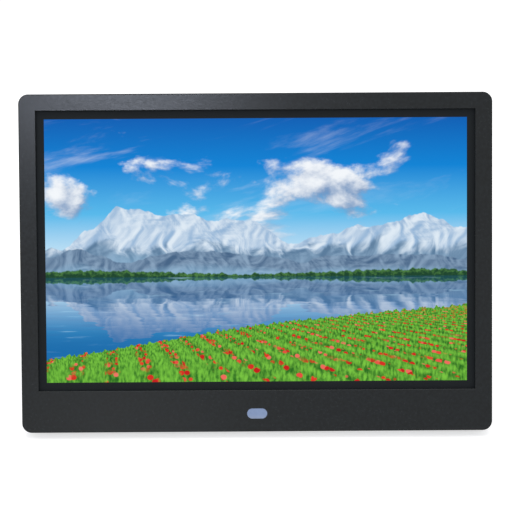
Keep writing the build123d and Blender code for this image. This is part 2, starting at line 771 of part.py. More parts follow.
def usb_socket():
    """Steel shell of the USB socket."""
    return socket_box(USB_RISE, USB_W, USB_H, USB_DEPTH) - usb_inside()


def usb_insulator():
    """Plastic block at the back of the USB shell, with the contact tongue."""
    z = BOARD_Z + USB_RISE
    back = MOUTH_X - USB_DEPTH
    filled = usb_inside() - block(back + USB_BACK, MOUTH_X, BOARD_REAR, DEPTH, 0, FRAME_H)
    y = BOARD_REAR + USB_H / 2
    half = USB_TONGUE_W / 2
    x1 = MOUTH_X - USB_TONGUE_SETBACK
    return filled + block(back + USB_BACK, x1, y - USB_TONGUE_T / 2, y + USB_TONGUE_T / 2, z - half, z + half)


def headphone_jack():
    """Headphone socket with a round bore."""
    y, z = BOARD_REAR + AUDIO_H / 2, BOARD_Z + AUDIO_RISE
    body = socket_box(AUDIO_RISE, AUDIO_W, AUDIO_H, AUDIO_DEPTH)
    return body - rod_x(y, z, AUDIO_BORE_R, MOUTH_X - AUDIO_BORE_L, MOUTH_X)


def dc_jack():
    """Housing of the power socket."""
    y, z = BOARD_REAR + DC_H / 2, BOARD_Z + DC_RISE
    body = socket_box(DC_RISE, DC_W, DC_H, DC_DEPTH)
    return body - rod_x(y, z, DC_BORE_R, MOUTH_X - DC_BORE_L, MOUTH_X)


def dc_jack_pin():
    """Centre pin of the power socket."""
    y, z = BOARD_REAR + DC_H / 2, BOARD_Z + DC_RISE
    tip = MOUTH_X - DC_PIN_SETBACK
    pin = rod_x(y, z, DC_PIN_R, MOUTH_X - DC_BORE_L, tip)
    return fillet(pin.edges().filter_by_position(Axis.X, tip, tip), DC_PIN_R / 2)


def socket_cutouts():
    """Holes in the cover's side wall for the four sockets."""
    x0, x1 = COVER_W / 2 - 2 * COVER_WALL, COVER_W / 2
    sockets = [(CARD_RISE, CARD_W, CARD_H), (USB_RISE, USB_W, USB_H)]
    sockets += [(AUDIO_RISE, AUDIO_W, AUDIO_H), (DC_RISE, DC_W, DC_H)]
    for rise, width, height in sockets:
        z = BOARD_Z + rise
        half = width / 2 + CUTOUT_PLAY
        y1 = BOARD_REAR + height + CUTOUT_PLAY
        yield block(x0, x1, BOARD_REAR - CUTOUT_PLAY, y1, z - half, z + half)


# Speakers


def speaker_depths():
    """Depths of the gasket's front, the flange's front and the cup's front."""
    gasket = PLATEAU_IN - SPEAKER_GASKET_T
    flange = gasket - SPEAKER_FLANGE_T
    return gasket, flange, flange - SPEAKER_CUP_H


def speaker_gasket(x):
    """Foam ring between the speaker and the cover."""
    gasket, _, _ = speaker_depths()
    outer = rod_y(x, SPEAKER_Z, SPEAKER_R, gasket, PLATEAU_IN)
    return outer - rod_y(x, SPEAKER_Z, SPEAKER_R - SPEAKER_GASKET_W, gasket, PLATEAU_IN)


def speaker_frame(x):
    """Steel cup with a flange, open to the back."""
    gasket, flange, cup = speaker_depths()
    inner = SPEAKER_CUP_R - SPEAKER_CUP_WALL
    floor = cup + SPEAKER_CUP_WALL
    points = [(0, cup), (SPEAKER_CUP_R, cup), (SPEAKER_CUP_R, flange), (SPEAKER_R, flange)]
    points += [(SPEAKER_R, gasket), (inner, gasket), (inner, floor), (0, floor)]
    return turned(points, x, SPEAKER_Z)


def speaker_cone(x):
    """Paper cone with a domed centre, hung in the cup."""
    gasket, flange, cup = speaker_depths()
    rim = SPEAKER_CUP_R - SPEAKER_CUP_WALL - CONE_GAP
    low = cup + SPEAKER_CUP_WALL + CONE_GAP
    points = [(0, low), (SPEAKER_CAP_R, low), (rim, flange), (rim, flange + CONE_T)]
    points += [(SPEAKER_CAP_R, low + CONE_T), (0, low + 2 * CONE_T)]
    return turned(points, x, SPEAKER_Z)


def speaker_magnet(x):
    """Round magnet on the cup's front."""
    _, _, cup = speaker_depths()
    return rod_y(x, SPEAKER_Z, SPEAKER_MAGNET_R, cup - SPEAKER_MAGNET_H, cup)


def both_speakers(piece):
    """The same piece of both speakers."""
    return group(piece(side * SPEAKER_X) for side in (-1, 1))


def speaker_wall(x):
    """Round wall on the cover that locates a speaker."""
    inner = SPEAKER_R + SPEAKER_FIT
    _, flange, _ = speaker_depths()
    y0 = flange - SPEAKER_WALL_LIP
    outer = rod_y(x, SPEAKER_Z, inner + SPEAKER_WALL, y0, PLATEAU_IN)
    return outer - rod_y(x, SPEAKER_Z, inner, y0, PLATEAU_IN)


def speaker_grille(x):
    """Rows of slots, each as long as the round grille allows."""
    for i in range(GRILLE_ROWS):
        rise = (i - (GRILLE_ROWS - 1) / 2) * GRILLE_PITCH
        length = 2 * math.sqrt(GRILLE_R**2 - rise**2)
        outline = Pos(x, SPEAKER_Z + rise) * SlotOverall(length, GRILLE_SLOT)
        yield prism(outline, PLATEAU_IN, DEPTH)


# Keys and their board


def key_outline(x, grow=0.0):
    """Pill outline of one key."""
    return Pos(x, KEY_Z) * SlotOverall(KEY_W + 2 * grow, KEY_H + 2 * grow)


def key_cap(x):
    """Key with its flange inside the cover and its stem on the switch."""
    cap = prism(key_outline(x), FLANGE_OUT, DEPTH + KEY_PROUD)
    cap = fillet(edges_at_depth(cap, DEPTH + KEY_PROUD), KEY_EDGE_R)
    flange = prism(key_outline(x, KEY_FLANGE), FLANGE_OUT - KEY_FLANGE_T, FLANGE_OUT)
    return cap + flange + rod_y(x, KEY_Z, KEY_STEM_R, STEM_END, FLANGE_OUT - KEY_FLANGE_T)


def switch_plunger(x):
    """Round plunger of one switch, under the key's stem."""
    return rod_y(x, KEY_Z, PLUNGER_R, SWITCH_TOP - PLUNGER_SUNK, STEM_END)


def switch_body(x):
    """Square switch on the key board, with room for its plunger to sink."""
    half = SWITCH_W / 2
    body = block(x - half, x + half, KEY_BOARD_REAR, SWITCH_TOP, KEY_Z - half, KEY_Z + half)
    floor = SWITCH_TOP - PLUNGER_SUNK - KEY_TRAVEL - PLUNGER_OVERTRAVEL
    return body - rod_y(x, KEY_Z, PLUNGER_R + PLUNGER_PLAY, floor, SWITCH_TOP)


def key_x():
    """Middles of the keys."""
    return [KEY_X + offset for offset in KEY_OFFSETS]


def key_board():
    """Strip board that carries the switches."""
    half = KEY_BOARD_W / 2
    low = KEY_Z - KEY_BOARD_H / 2
    board = block(KEY_X - half, KEY_X + half, KEY_BOARD_Y, KEY_BOARD_REAR, low, low + KEY_BOARD_H)
    for x in (KEY_X - KEY_BOSS_X, KEY_X + KEY_BOSS_X):
        board -= rod_y(x, KEY_Z, SMALL_SCREW_R + SCREW_PLAY, KEY_BOARD_Y, KEY_BOARD_REAR)
    return board


# Stand


def leg_reach(y):
    """Distance down the open leg from the hinge to the floor, at depth y of the folded leg."""
    opened = math.radians(OPEN_DEG)
    offset = y - HINGE_Y
    height = HINGE_Z - FLOOR_Z - (HINGE_Y - FLOOR_Y) * FLOOR_SLOPE
    drift = offset * (math.sin(opened) - FLOOR_SLOPE * math.cos(opened))
    return (height + drift) / (math.cos(opened) + FLOOR_SLOPE * math.sin(opened))


LEG_TIP = HINGE_Z - leg_reach(LEG_IN) + PAD_T  # end of the folded leg, in Z


def swing_open(shape):
    """Turns a piece drawn on the folded leg to where the open leg holds it."""
    hinge = Pos(0, HINGE_Y, HINGE_Z)
    return hinge * Rot(OPEN_DEG, 0, 0) * hinge.inverse() * shape


def leg_outline(inset, top, tip):
    """Tapering outline of the leg, drawn in X and Z."""
    half_top, half_tip = LEG_W / 2 - inset, LEG_TIP_W / 2 - inset
    return Polygon((-half_top, top), (half_top, top), (half_tip, tip), (-half_tip, tip), align=None)


def leg_half_width(z):
    """Half the leg's width at height z of the folded leg."""
    share = (z - LEG_TIP) / (HINGE_Z - LEG_TIP)
    return (LEG_TIP_W + (LEG_W - LEG_TIP_W) * share) / 2


def stand_leg():
    """Moulded leg, ribbed on the side that folds against the frame, with its stop heel."""
    plate = prism(leg_outline(0, HINGE_Z, LEG_TIP), LEG_IN, LEG_OUT)
    tip_corners = plate.edges().filter_by(Axis.Y).group_by(Axis.Z)[0]
    plate = fillet(tip_corners, LEG_CORNER_R)
    plate = fillet(edges_at_depth(plate, LEG_OUT).sort_by(Axis.Z)[:-1], LEG_EDGE_R)
    hollow_top = HINGE_Z - BARREL_R - LEG_SKIN
    hollow_tip = LEG_TIP + LEG_SKIN + PAD_GRIP
    inset = LEG_SKIN + (LEG_W - LEG_TIP_W) / 2 * LEG_SKIN / (HINGE_Z - LEG_TIP)
    low_half, high_half = leg_half_width(hollow_tip) - inset, leg_half_width(hollow_top) - inset
    corners = [(-high_half, hollow_top), (high_half, hollow_top)]
    corners += [(low_half, hollow_tip), (-low_half, hollow_tip)]
    hollow = prism(Polygon(*corners, align=None), LEG_IN, LEG_OUT - LEG_SKIN)
    for z in (hollow_tip + (hollow_top - hollow_tip) * share for share in (1 / 3, 2 / 3)):
        hollow -= block(-LEG_W, LEG_W, LEG_IN, LEG_OUT, z - LEG_RIB_T / 2, z + LEG_RIB_T / 2)
    hollow -= block(-LEG_RIB_T / 2, LEG_RIB_T / 2, LEG_IN, LEG_OUT, 0, HINGE_Z)
    plate -= hollow
    for i in range(LEG_GROOVES):
        z = LEG_TIP + LEG_GROOVE_RISE + i * LEG_GROOVE_PITCH
        groove = SlotOverall(LEG_TIP_W / 2, LEG_GROOVE_W)
        plate -= prism(Pos(0, z) * groove, LEG_OUT - LEG_GROOVE_DEPTH, LEG_OUT)
    half = LEG_W / 2
    plate += block(-half, half, LEG_IN, LEG_OUT, HINGE_Z, HINGE_Z + HEEL)
    plate += rod_x(HINGE_Y, HINGE_Z, BARREL_R, -half, half)
    plate -= rod_x(HINGE_Y, HINGE_Z, PIN_R + PIN_RUNNING, -half, half)
    plate -= pad_tongue(PAD_FIT)
    opened = swing_open(plate)
    return opened - block(-FAR, FAR, -FAR, RECESS_FLOOR + STOP_GAP, -FAR, FAR)


def pad_tongue(play=0.0):
    """Tongue of the foot pad that sits in the end of the folded leg."""
    half = LEG_TIP_W / 4 + play
    y0, y1 = LEG_IN + LEG_SKIN - play, LEG_OUT - LEG_SKIN + play
    return block(-half, half, y0, y1, LEG_TIP, LEG_TIP + PAD_GRIP + play)


def stand_pad():
    """Rubber pad on the end of the leg, cut off along the floor."""
    half = LEG_TIP_W / 2 - LEG_CORNER_R
    sole = block(-half, half, LEG_IN, LEG_OUT, LEG_TIP - leg_reach(LEG_OUT), LEG_TIP)
    return swing_open(sole + pad_tongue()) - below_floor()


def stand_pin():
    """Steel hinge pin with a head at one end."""
    end = RECESS_W / 2 + COVER_WALL + PIN_END
    head = -RECESS_W / 2 - COVER_WALL - CLIP_GAP
    pin = rod_x(HINGE_Y, HINGE_Z, PIN_R, head, end)
    return pin + rod_x(HINGE_Y, HINGE_Z, PIN_HEAD_R, head - PIN_HEAD_T, head)


def stand_pin_clip():
    """Ring clip that keeps the pin in."""
    x0 = RECESS_W / 2 + COVER_WALL + CLIP_GAP
    clip = rod_x(HINGE_Y, HINGE_Z, CLIP_R, x0, x0 + CLIP_T)
    return clip - rod_x(HINGE_Y, HINGE_Z, PIN_R + PIN_SEAT, x0, x0 + CLIP_T)


def rubber_feet():
    """Two rubber feet under the cover's lower side, cut off along the floor."""
    solids = []
    for side in (-1, 1):
        x = side * FOOT_X
        foot = block(x - FOOT_W / 2, x + FOOT_W / 2, FOOT_FRONT, FOOT_BACK, -FRAME_H, COVER_LOW)
        foot = fillet(foot.edges().filter_by(Axis.Z), FOOT_EDGE_R)
        solids.append(foot - below_floor())
    return group(solids)


# Rear cover


def cover_section(inset, radius, depth):
    """Rounded outline of the cover at one depth, inset from its straight side."""
    outline = RectangleRounded(COVER_W - 2 * inset, COVER_H - 2 * inset, radius)
    return at_depth(Pos(0, FRAME_H / 2) * outline, depth)


def cover_form(inset, end_inset, radius, end_radius, y0, y1, y2):
    """Straight-sided form from y0 to y1 that tapers in to y2."""
    straight = extrude(cover_section(inset, radius, y1), y1 - y0)
    return straight + loft([cover_section(inset, radius, y1), cover_section(end_inset, end_radius, y2)])


def cover_outside():
    """Outer form of the rear cover, with its shoulder and plateau edges rounded."""
    form = cover_form(0, TAPER_INSET, COVER_R, PLATEAU_CORNER_R, LIP_Y, SIDE_END, DEPTH)
    form = fillet(edges_at_depth(form, DEPTH), PLATEAU_EDGE_R)
    return fillet(edges_at_depth(form, SIDE_END), SHOULDER_R)


def cover_inside():
    """Hollow of the rear cover, one wall thickness inside its outer form."""
    slope = math.atan2(TAPER_DEPTH, TAPER_INSET)
    side = SIDE_END - COVER_WALL * math.tan((math.pi / 2 - slope) / 2)
    end_inset = TAPER_INSET + COVER_WALL * math.tan(slope / 2)
    radius = max(COVER_R - COVER_WALL, COVER_R / 4)
    return cover_form(COVER_WALL, end_inset, radius, PLATEAU_CORNER_R, LIP_Y, side, PLATEAU_IN)


def stand_recess(grow=0.0):
    """Channel for the folded leg, open at its lower end."""
    half = RECESS_W / 2 + grow
    return block(-half, half, RECESS_FLOOR - grow, DEPTH, -FRAME_H, RECESS_TOP + grow)


def keyhole(x):
    """Hole for a screw head, with a slot above it for the screw's neck."""
    head = rod_y(x, KEYHOLE_Z, KEYHOLE_R, PLATEAU_IN, DEPTH)
    half = KEYHOLE_SLOT_W / 2
    top = KEYHOLE_Z + KEYHOLE_RUN
    neck = block(x - half, x + half, PLATEAU_IN, DEPTH, KEYHOLE_Z, top)
    return head + neck + rod_y(x, top, half, PLATEAU_IN, DEPTH)


def top_vents():
    """Row of upright slots above the stand."""
    for i in range(TOP_VENT_COUNT):
        x = (i - (TOP_VENT_COUNT - 1) / 2) * VENT_PITCH
        slot = Pos(x, TOP_VENT_Z) * Rot(0, 0, 90) * SlotOverall(TOP_VENT_L, VENT_W)
        yield prism(slot, PLATEAU_IN, DEPTH)


def side_vents():
    """Stacks of level slots left and right of the stand."""
    for side in (-1, 1):
        for i in range(SIDE_VENT_COUNT):
            z = SIDE_VENT_Z + (i - (SIDE_VENT_COUNT - 1) / 2) * VENT_PITCH
            slot = Pos(side * SIDE_VENT_X, z) * SlotOverall(SIDE_VENT_L, VENT_W)
            yield prism(slot, PLATEAU_IN, DEPTH)


def cover_hook(x):
    """Nib on the lip that snaps into the bezel's upper rim."""
    top = FRAME_H - COVER_SETBACK
    y0 = LIP_Y + HOOK_T / 2
    half = HOOK_W / 2
    return block(x - half, x + half, y0, y0 + HOOK_T, top - COVER_WALL / 2, top + HOOK_H - HOOK_PLAY)


def cover_boss(x, z, radius, y0):
    """Boss inside the cover with a blind pilot hole for a small screw."""
    pilot = rod_y(x, z, SMALL_SCREW_R + SCREW_FIT, y0, y0 + SMALL_SCREW_L)
    return rod_y(x, z, radius, y0, PLATEAU_IN) - pilot


def rear_cover():
    """Moulded rear shell with the stand's recess, screw pockets, vents and bosses."""
    outside = cover_outside()
    body = outside - cover_inside()
    pocket_r = CASE_HEAD_R + POCKET_PLAY
    for x in CASE_SCREW_X:
        body += rod_y(x, CASE_SCREW_Z, pocket_r + POCKET_WALL, CASE_BOSS_TOP, DEPTH) & outside
    body += stand_recess(COVER_WALL) & outside
    for x, z in board_holes():
        body += cover_boss(x, z, BOARD_BOSS_R, BOARD_REAR)
    for x in (KEY_X - KEY_BOSS_X, KEY_X + KEY_BOSS_X):
        body += cover_boss(x, KEY_Z, KEY_BOSS_R, KEY_BOARD_REAR)
    for x in HOOK_X:
        body += cover_hook(x)
    for side in (-1, 1):
        body += speaker_wall(side * SPEAKER_X)
    body -= stand_recess()
    for x in CASE_SCREW_X:
        body -= rod_y(x, CASE_SCREW_Z, pocket_r, CASE_BOSS_TOP + POCKET_FLOOR, DEPTH)
        body -= rod_y(x, CASE_SCREW_Z, CASE_SCREW_R + SCREW_PLAY, CASE_BOSS_TOP, CASE_BOSS_TOP + POCKET_FLOOR)
    pin_end = RECESS_W / 2 + COVER_WALL
    body -= rod_x(HINGE_Y, HINGE_Z, PIN_R + PIN_SEAT, -pin_end, pin_end)
    for side in (-1, 1):
        body -= keyhole(side * KEYHOLE_X)
        for slot in speaker_grille(side * SPEAKER_X):
            body -= slot
    for x in key_x():
        body -= prism(key_outline(x, KEY_PLAY), PLATEAU_IN, DEPTH)
    for cut in (*top_vents(), *side_vents(), *socket_cutouts()):
        body -= cut
    return body


# Fasteners


def case_screws():
    """Screws from the back, through the cover into the bezel's bosses."""
    seat = CASE_BOSS_TOP + POCKET_FLOOR
    sizes = (CASE_SCREW_R, CASE_SCREW_L, CASE_HEAD_R, CASE_HEAD_H)
    return group(pan_screw(x, CASE_SCREW_Z, seat, *sizes) for x in CASE_SCREW_X)


def bracket_screws():
    """Screws that hold the panel's straps and the infrared board to the bezel."""
    sizes = (SMALL_SCREW_R, SMALL_SCREW_L, SMALL_HEAD_R, SMALL_HEAD_H)
    strap = [pan_screw(x, BRACKET_Z, PANEL_REAR + BRACKET_T, *sizes) for x in BRACKET_X]
    z = IR_BOARD_LOW + IR_BOARD_H / 2
    seat = IR_BOARD_Y + IR_BOARD_T
    return group(strap + [pan_screw(x, z, seat, *sizes) for x in (-IR_BOSS_X, IR_BOSS_X)])


def board_screws():
    """Screws from the front that hold the main board and the key board to the cover."""
    sizes = (SMALL_SCREW_R, SMALL_SCREW_L, SMALL_HEAD_R, SMALL_HEAD_H)
    main = [front_screw(x, z, BOARD_Y, *sizes) for x, z in board_holes()]
    ends = (KEY_X - KEY_BOSS_X, KEY_X + KEY_BOSS_X)
    return group(main + [front_screw(x, KEY_Z, KEY_BOARD_Y, *sizes) for x in ends])


# Cables


def header_z(index):
    """Height of one of the main board's wire headers."""
    return BOARD_Z + HEADER_RISE[index]


def speaker_cables():
    """A cable from each speaker's cup to its header."""
    _, flange, cup = speaker_depths()
    y = (flange + cup) / 2
    start = SPEAKER_X - SPEAKER_CUP_R
    turn_right = HEADER_X - 2 * CABLE_BEND
    turn_left = turn_right - 3 * CABLE_BEND
    exit_x = start - CABLE_BEND
    right = [(start, y, SPEAKER_Z), (exit_x, y, SPEAKER_Z), (turn_right, HEADER_Y, SPEAKER_Z)]
    right += [(turn_right, HEADER_Y, header_z(0)), (HEADER_X, HEADER_Y, header_z(0))]
    left = [(-start, y, SPEAKER_Z), (-exit_x, y, SPEAKER_Z), (-turn_right, HEADER_Y, SPEAKER_Z)]
    left += [(turn_left, HEADER_Y, SPEAKER_Z), (turn_left, HEADER_Y, header_z(1))]
    left.append((HEADER_X, HEADER_Y, header_z(1)))
    return group([cable(right), cable(left)])


def key_cable():
    """Cable from the key board to its header."""
    x = KEY_X + KEY_OFFSETS[-1] + HEADER_H / 2
    y = KEY_BOARD_Y - SMALL_HEADER_T / 2
    turn = HEADER_X - 6 * CABLE_BEND
    points = [(x, y, KEY_HEADER_Z), (turn, y, KEY_HEADER_Z), (turn, HEADER_Y, header_z(2))]
    points.append((HEADER_X, HEADER_Y, header_z(2)))
    return cable(points)


def ir_cable():
    """Cable from the infrared board to its header, nearer the panel than the others."""
    y = IR_BOARD_Y + IR_BOARD_T + SMALL_HEADER_T / 2
    turn = HEADER_X - 4 * CABLE_BEND
    points = [(HEADER_H / 2, y, IR_HEADER_Z), (turn, y, IR_HEADER_Z), (turn, y, header_z(3))]
    points += [(HEADER_X - CABLE_BEND, HEADER_Y, header_z(3)), (HEADER_X, HEADER_Y, header_z(3))]
    return cable(points)


# All pieces, upright


def all_pieces():
    """Every piece by its node's name, with the frame upright."""
    pieces = {
        "front_bezel": front_bezel(),
        "ir_window": ir_window(),
        "lcd_gasket": lcd_gasket(),
        "lcd_cell": panel_sheet(PANEL_W, PANEL_H, CELL_Y, CELL_T),
        "optical_films": panel_sheet(GUIDE_W, GUIDE_H, FILM_Y, FILM_T),
        "light_guide": panel_sheet(GUIDE_W, GUIDE_H, GUIDE_Y, GUIDE_T),
        "reflector_sheet": panel_sheet(GUIDE_W, GUIDE_H, REFLECTOR_Y, REFLECTOR_T),
        "lcd_mould_frame": lcd_mould_frame(),
        "led_strip": led_strip(),
        "backlight_leds": backlight_leds(),
        "lcd_tray": lcd_tray(),
        "lcd_driver_board": lcd_driver_board(),
        "lcd_flexes": lcd_flexes(),
        "lcd_brackets": lcd_brackets(),
        "ir_board": ir_board(),
        "ir_receiver": ir_receiver(),
        "main_board": main_board(),
        "board_chips": board_chips(),
        "board_capacitors": board_capacitors(),
        "power_inductor": on_board(INDUCTOR_ALONG, INDUCTOR_RISE, INDUCTOR_W, INDUCTOR_W, INDUCTOR_T),
        "wire_headers": wire_headers(),
        "display_connectors": display_connectors(),
        "display_ribbon": display_ribbon(),
        "card_socket": card_socket(),
        "card_socket_shield": card_socket_shield(),
        "usb_socket": usb_socket(),
        "usb_insulator": usb_insulator(),
        "headphone_jack": headphone_jack(),
        "dc_jack": dc_jack(),
        "dc_jack_pin": dc_jack_pin(),
        "speaker_gaskets": both_speakers(speaker_gasket),
        "speaker_frames": both_speakers(speaker_frame),
        "speaker_cones": both_speakers(speaker_cone),
        "speaker_magnets": both_speakers(speaker_magnet),
        "speaker_cables": speaker_cables(),
        "key_board": key_board(),
        "key_switches": group(switch_body(x) for x in key_x()),
        "key_cable": key_cable(),
        "ir_cable": ir_cable(),
        "rear_cover": rear_cover(),
        "stand_leg": stand_leg(),
        "stand_pad": stand_pad(),
        "stand_pin": stand_pin(),
        "stand_pin_clip": stand_pin_clip(),
        "rubber_feet": rubber_feet(),
        "case_screws": case_screws(),
        "bracket_screws": bracket_screws(),
        "board_screws": board_screws(),
    }
    for name, x in zip(KEYS, key_x()):
        pieces[f"{name}_key"] = key_cap(x)
        pieces[f"{name}_switch_plunger"] = switch_plunger(x)
    return pieces


def stand_up(pieces):
    """Location that leans the upright frame back onto the floor, with the origin under its middle."""
    lean = Rot(-LEAN_DEG, 0, 0) * Pos(0, -FLOOR_Y, -FLOOR_Z)
    boxes = [(lean * piece).bounding_box() for piece in pieces.values()]
    front = min(box.min.Y for box in boxes)
    back = max(box.max.Y for box in boxes)
    return Pos(0, -(front + back) / 2, 0) * lean


upright = all_pieces()
standing = stand_up(upright)
os.makedirs("parts", exist_ok=True)
for node, piece in upright.items():
    export_step(standing * piece, f"parts/{node}.step")
print(f"{len(upright)} nodes, frame {FRAME_W:.1f} x {FRAME_H:.1f} x {DEPTH:.1f} mm")
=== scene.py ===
"""Looks of a digital photo frame that stands on its folding leg.

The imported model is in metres. Sizes named here are in millimetres, unless a comment gives another unit.
The housing leans back on its leg, so places on it are given along its own axes: across to the right, back
from the bezel's face and up from the bezel's lower edge. A pair named EDGE, FADE or TONES gives the values at
which a smooth step starts and ends.
"""
import json
import math

import bmesh
import bpy
from mathutils import Matrix, Vector


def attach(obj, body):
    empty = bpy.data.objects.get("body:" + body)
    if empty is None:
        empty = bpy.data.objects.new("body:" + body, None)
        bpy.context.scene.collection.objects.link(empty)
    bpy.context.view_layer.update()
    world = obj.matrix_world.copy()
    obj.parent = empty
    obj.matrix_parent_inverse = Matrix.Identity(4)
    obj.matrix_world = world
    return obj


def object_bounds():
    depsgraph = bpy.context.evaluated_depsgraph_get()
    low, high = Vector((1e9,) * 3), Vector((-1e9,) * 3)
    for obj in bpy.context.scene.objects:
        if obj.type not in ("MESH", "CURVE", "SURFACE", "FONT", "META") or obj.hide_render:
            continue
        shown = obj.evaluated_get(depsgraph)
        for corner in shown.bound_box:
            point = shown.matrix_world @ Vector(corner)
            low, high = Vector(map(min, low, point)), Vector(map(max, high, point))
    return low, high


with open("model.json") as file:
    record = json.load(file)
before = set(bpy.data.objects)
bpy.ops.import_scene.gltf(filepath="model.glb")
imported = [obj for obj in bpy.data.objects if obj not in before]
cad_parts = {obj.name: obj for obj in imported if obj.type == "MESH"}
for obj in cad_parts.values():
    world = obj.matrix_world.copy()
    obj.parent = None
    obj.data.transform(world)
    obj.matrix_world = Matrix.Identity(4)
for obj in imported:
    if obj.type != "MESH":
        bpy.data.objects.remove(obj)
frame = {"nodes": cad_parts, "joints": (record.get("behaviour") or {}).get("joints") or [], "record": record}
cad_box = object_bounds()

MM = 0.001


def srgb(red, green, blue):
    """Linear colour of a screen colour whose parts go from 0 to 255."""
    parts = [level / 255 for level in (red, green, blue)]
    return tuple(p / 12.92 if p < 0.04045 else ((p + 0.055) / 1.055) ** 2.4 for p in parts) + (1.0,)


def shade(colour, factor):
    """A colour made lighter or darker."""
    return tuple(min(part * factor, 1.0) for part in colour[:3]) + (1.0,)


# Camera of the photograph, on the housing's axes
FOCAL = 85.0  # on Blender's 36 mm sensor
CAMERA_AT = Vector((-0.75, -619.9, 112.3))
CAMERA_PITCH = 2.0  # degrees, looking down
CAMERA_ROLL = -0.36  # degrees
CAMERA_YAW = 0.06  # degrees
CLIP_START = 10.0

# Studio: levels are radiances, where 1 is white
WHITE = (1.0, 1.0, 1.0, 1.0)
AMBIENT = 0.65
FLOOR_SIDE = 40000.0
FLOOR_GREY = (0.6, 0.6, 0.6, 1.0)
FLOOR_GLOW = 0.63
FLOOR_WASH = 400.0  # size of the floor's faint patches
LAMP_DISTANCE = 1100.0  # from the bezel to the two lamps that it mirrors
SOFTBOX_SPOT = Vector((-72.0, 0.0, 182.0))  # where the bezel mirrors the softbox to the camera
SOFTBOX_W = 280.0
SOFTBOX_H = 80.0
SOFTBOX_LEVEL = 20.0
SOFTBOX_TINT = (0.92, 1.0, 1.2)
FILL_SPOT = Vector((-70.0, 0.0, 0.0))  # where the bezel's chin mirrors the front fill
FILL_W = 240.0
FILL_H = 150.0
FILL_LEVEL = 0.9
NEUTRAL = (1.0, 1.0, 1.0)
BROAD_LAMPS = (
    # name, place in metres, width, height and level
    ("overhead", (0.0, -0.1, 1.4), 1200, 1200, 1.1),
    ("right_fill", (1.1, -0.9, 0.8), 500, 700, 1.4),
    ("back_left", (-1.0, 1.0, 0.45), 500, 500, 5.0),
    ("back_right", (0.9, 1.2, 0.6), 400, 600, 2.6),
)
LAMP_POWER = 4.0  # watts of an area lamp for each square metre and unit of radiance

# Moulded plastic
PIT = 0.36  # noise level below which the grain is a pit
TOP = 0.64  # noise level above which it is a top
COARSE_GRAIN = 6.0  # size of the coarse random mottling, in grains
COARSE_SHARE = 0.3
GRAIN_GLOSS = 0.12  # change of roughness over the grain
SMUDGE_GLOSS = 0.06  # change of roughness over the smudges
SMUDGE_SIZE = 30.0
PLASTICS = {
    # slot: colour, roughness, size and depth of the grain, specular level, share of painted pit shade and
    # mottling
    "bezel_plastic": (srgb(20, 24, 26), 0.25, 1.5, 0.012, 0.25, 0.28),
    "cover_plastic": (srgb(24, 25, 26), 0.4, 1.2, 0.05, 0.35, 0.6),
    "stand_plastic": (srgb(23, 24, 25), 0.36, 1.2, 0.03, 0.35, 0.5),
    "key_plastic": (srgb(34, 35, 37), 0.34, 0.6, 0.006, 0.4, 0.2),
    "white_plastic": (srgb(228, 228, 224), 0.5, 0.6, 0.01, 0.3, 0.05),
    "chip_plastic": (srgb(30, 30, 32), 0.5, 0.2, 0.01, 0.3, 0.05),
    "light_emitter": (srgb(240, 226, 130), 0.35, 0.3, 0.004, 0.3, 0.05),
    "connector_plastic": (srgb(224, 216, 194), 0.45, 0.5, 0.008, 0.3, 0.05),
    "socket_plastic": (srgb(24, 24, 25), 0.4, 0.3, 0.006, 0.3, 0.05),
}

# Rubber, foam and cable sheath
DUST_SIZE = 14.0  # in grains
RUBBERS = {
    # slot: colour, size and depth of the grain
    "foam": (srgb(30, 30, 31), 0.4, 0.08),
    "cable_sheath": (srgb(36, 36, 37), 0.3, 0.01),
    "foot_rubber": (srgb(32, 32, 33), 0.35, 0.03),
}

# Metal
LINE_DEPTH = 0.01
METALS = {
    # slot: colour, roughness, length of the lines, and how many times finer they are along x, y and z
    "capacitor_can": (srgb(214, 216, 218), 0.35, 1.2, (1.0, 8.0, 1.0)),
    "socket_steel": (srgb(202, 204, 206), 0.32, 1.0, (1.0, 7.0, 7.0)),
    "contact_metal": (srgb(222, 186, 112), 0.25, 0.6, (1.0, 6.0, 6.0)),
    "speaker_steel": (srgb(72, 72, 74), 0.4, 1.0, (6.0, 1.0, 1.0)),
    "pin_steel": (srgb(200, 202, 204), 0.3, 0.8, (1.0, 6.0, 6.0)),
    "screw_steel": (srgb(62, 62, 65), 0.34, 0.7, (5.0, 1.0, 5.0)),
}
FERRITES = {
    "inductor_core": srgb(62, 62, 66),
    "speaker_magnet": srgb(86, 86, 90),
}
SPECK_SIZE = 0.25
SPECK_EDGE = (0.55, 0.75)
SPECK_DEPTH = 0.02
TRAY_GREY = srgb(190, 192, 194)
SPANGLE_SIZE = 6.0

# Circuit board, flex film, light guide and speaker cone
BOARD_MASK = srgb(14, 74, 38)
BOARD_TIN = srgb(196, 190, 170)
TRACK_PATCH = 9.0  # size of the areas whose tracks run one way
PATCH_EDGE = (0.49, 0.51)
TRACK_HALF_PITCH = 0.45
TRACK_EDGE = (0.2, 0.26)
TRACK_DEPTH = 0.03
PAD_PITCH = 4.2
PAD_EDGE = (0.16, 0.12)  # in pad pitches
FILM_AMBER = srgb(176, 110, 34)
FILM_COPPER = srgb(208, 150, 84)
FILM_HALF_PITCH = 0.25
FILM_EDGE = (0.1, 0.16)
GUIDE_CLEAR = srgb(222, 232, 234)
GUIDE_DOT = srgb(250, 250, 250)
DOT_PITCH = 1.6
DOT_EDGE = (0.3, 0.24)  # in dot pitches
CONE_BLACK = srgb(48, 48, 50)
FIBRE_SIZE = (0.4, 1 / 0.9, 0.4)  # along x, y and z
FIBRE_DEPTH = 0.04

# Infrared window
WINDOW_BLUE = srgb(132, 150, 184)
# painted light on the window's lower edge and round ends
WINDOW_LIT_RIM = srgb(158, 168, 186)
LIT_RIM_SHARE = 0.7
RIM_START = 0.62  # share of the half width at which the painted light of the round ends begins
MILK_SIZE = 1.1

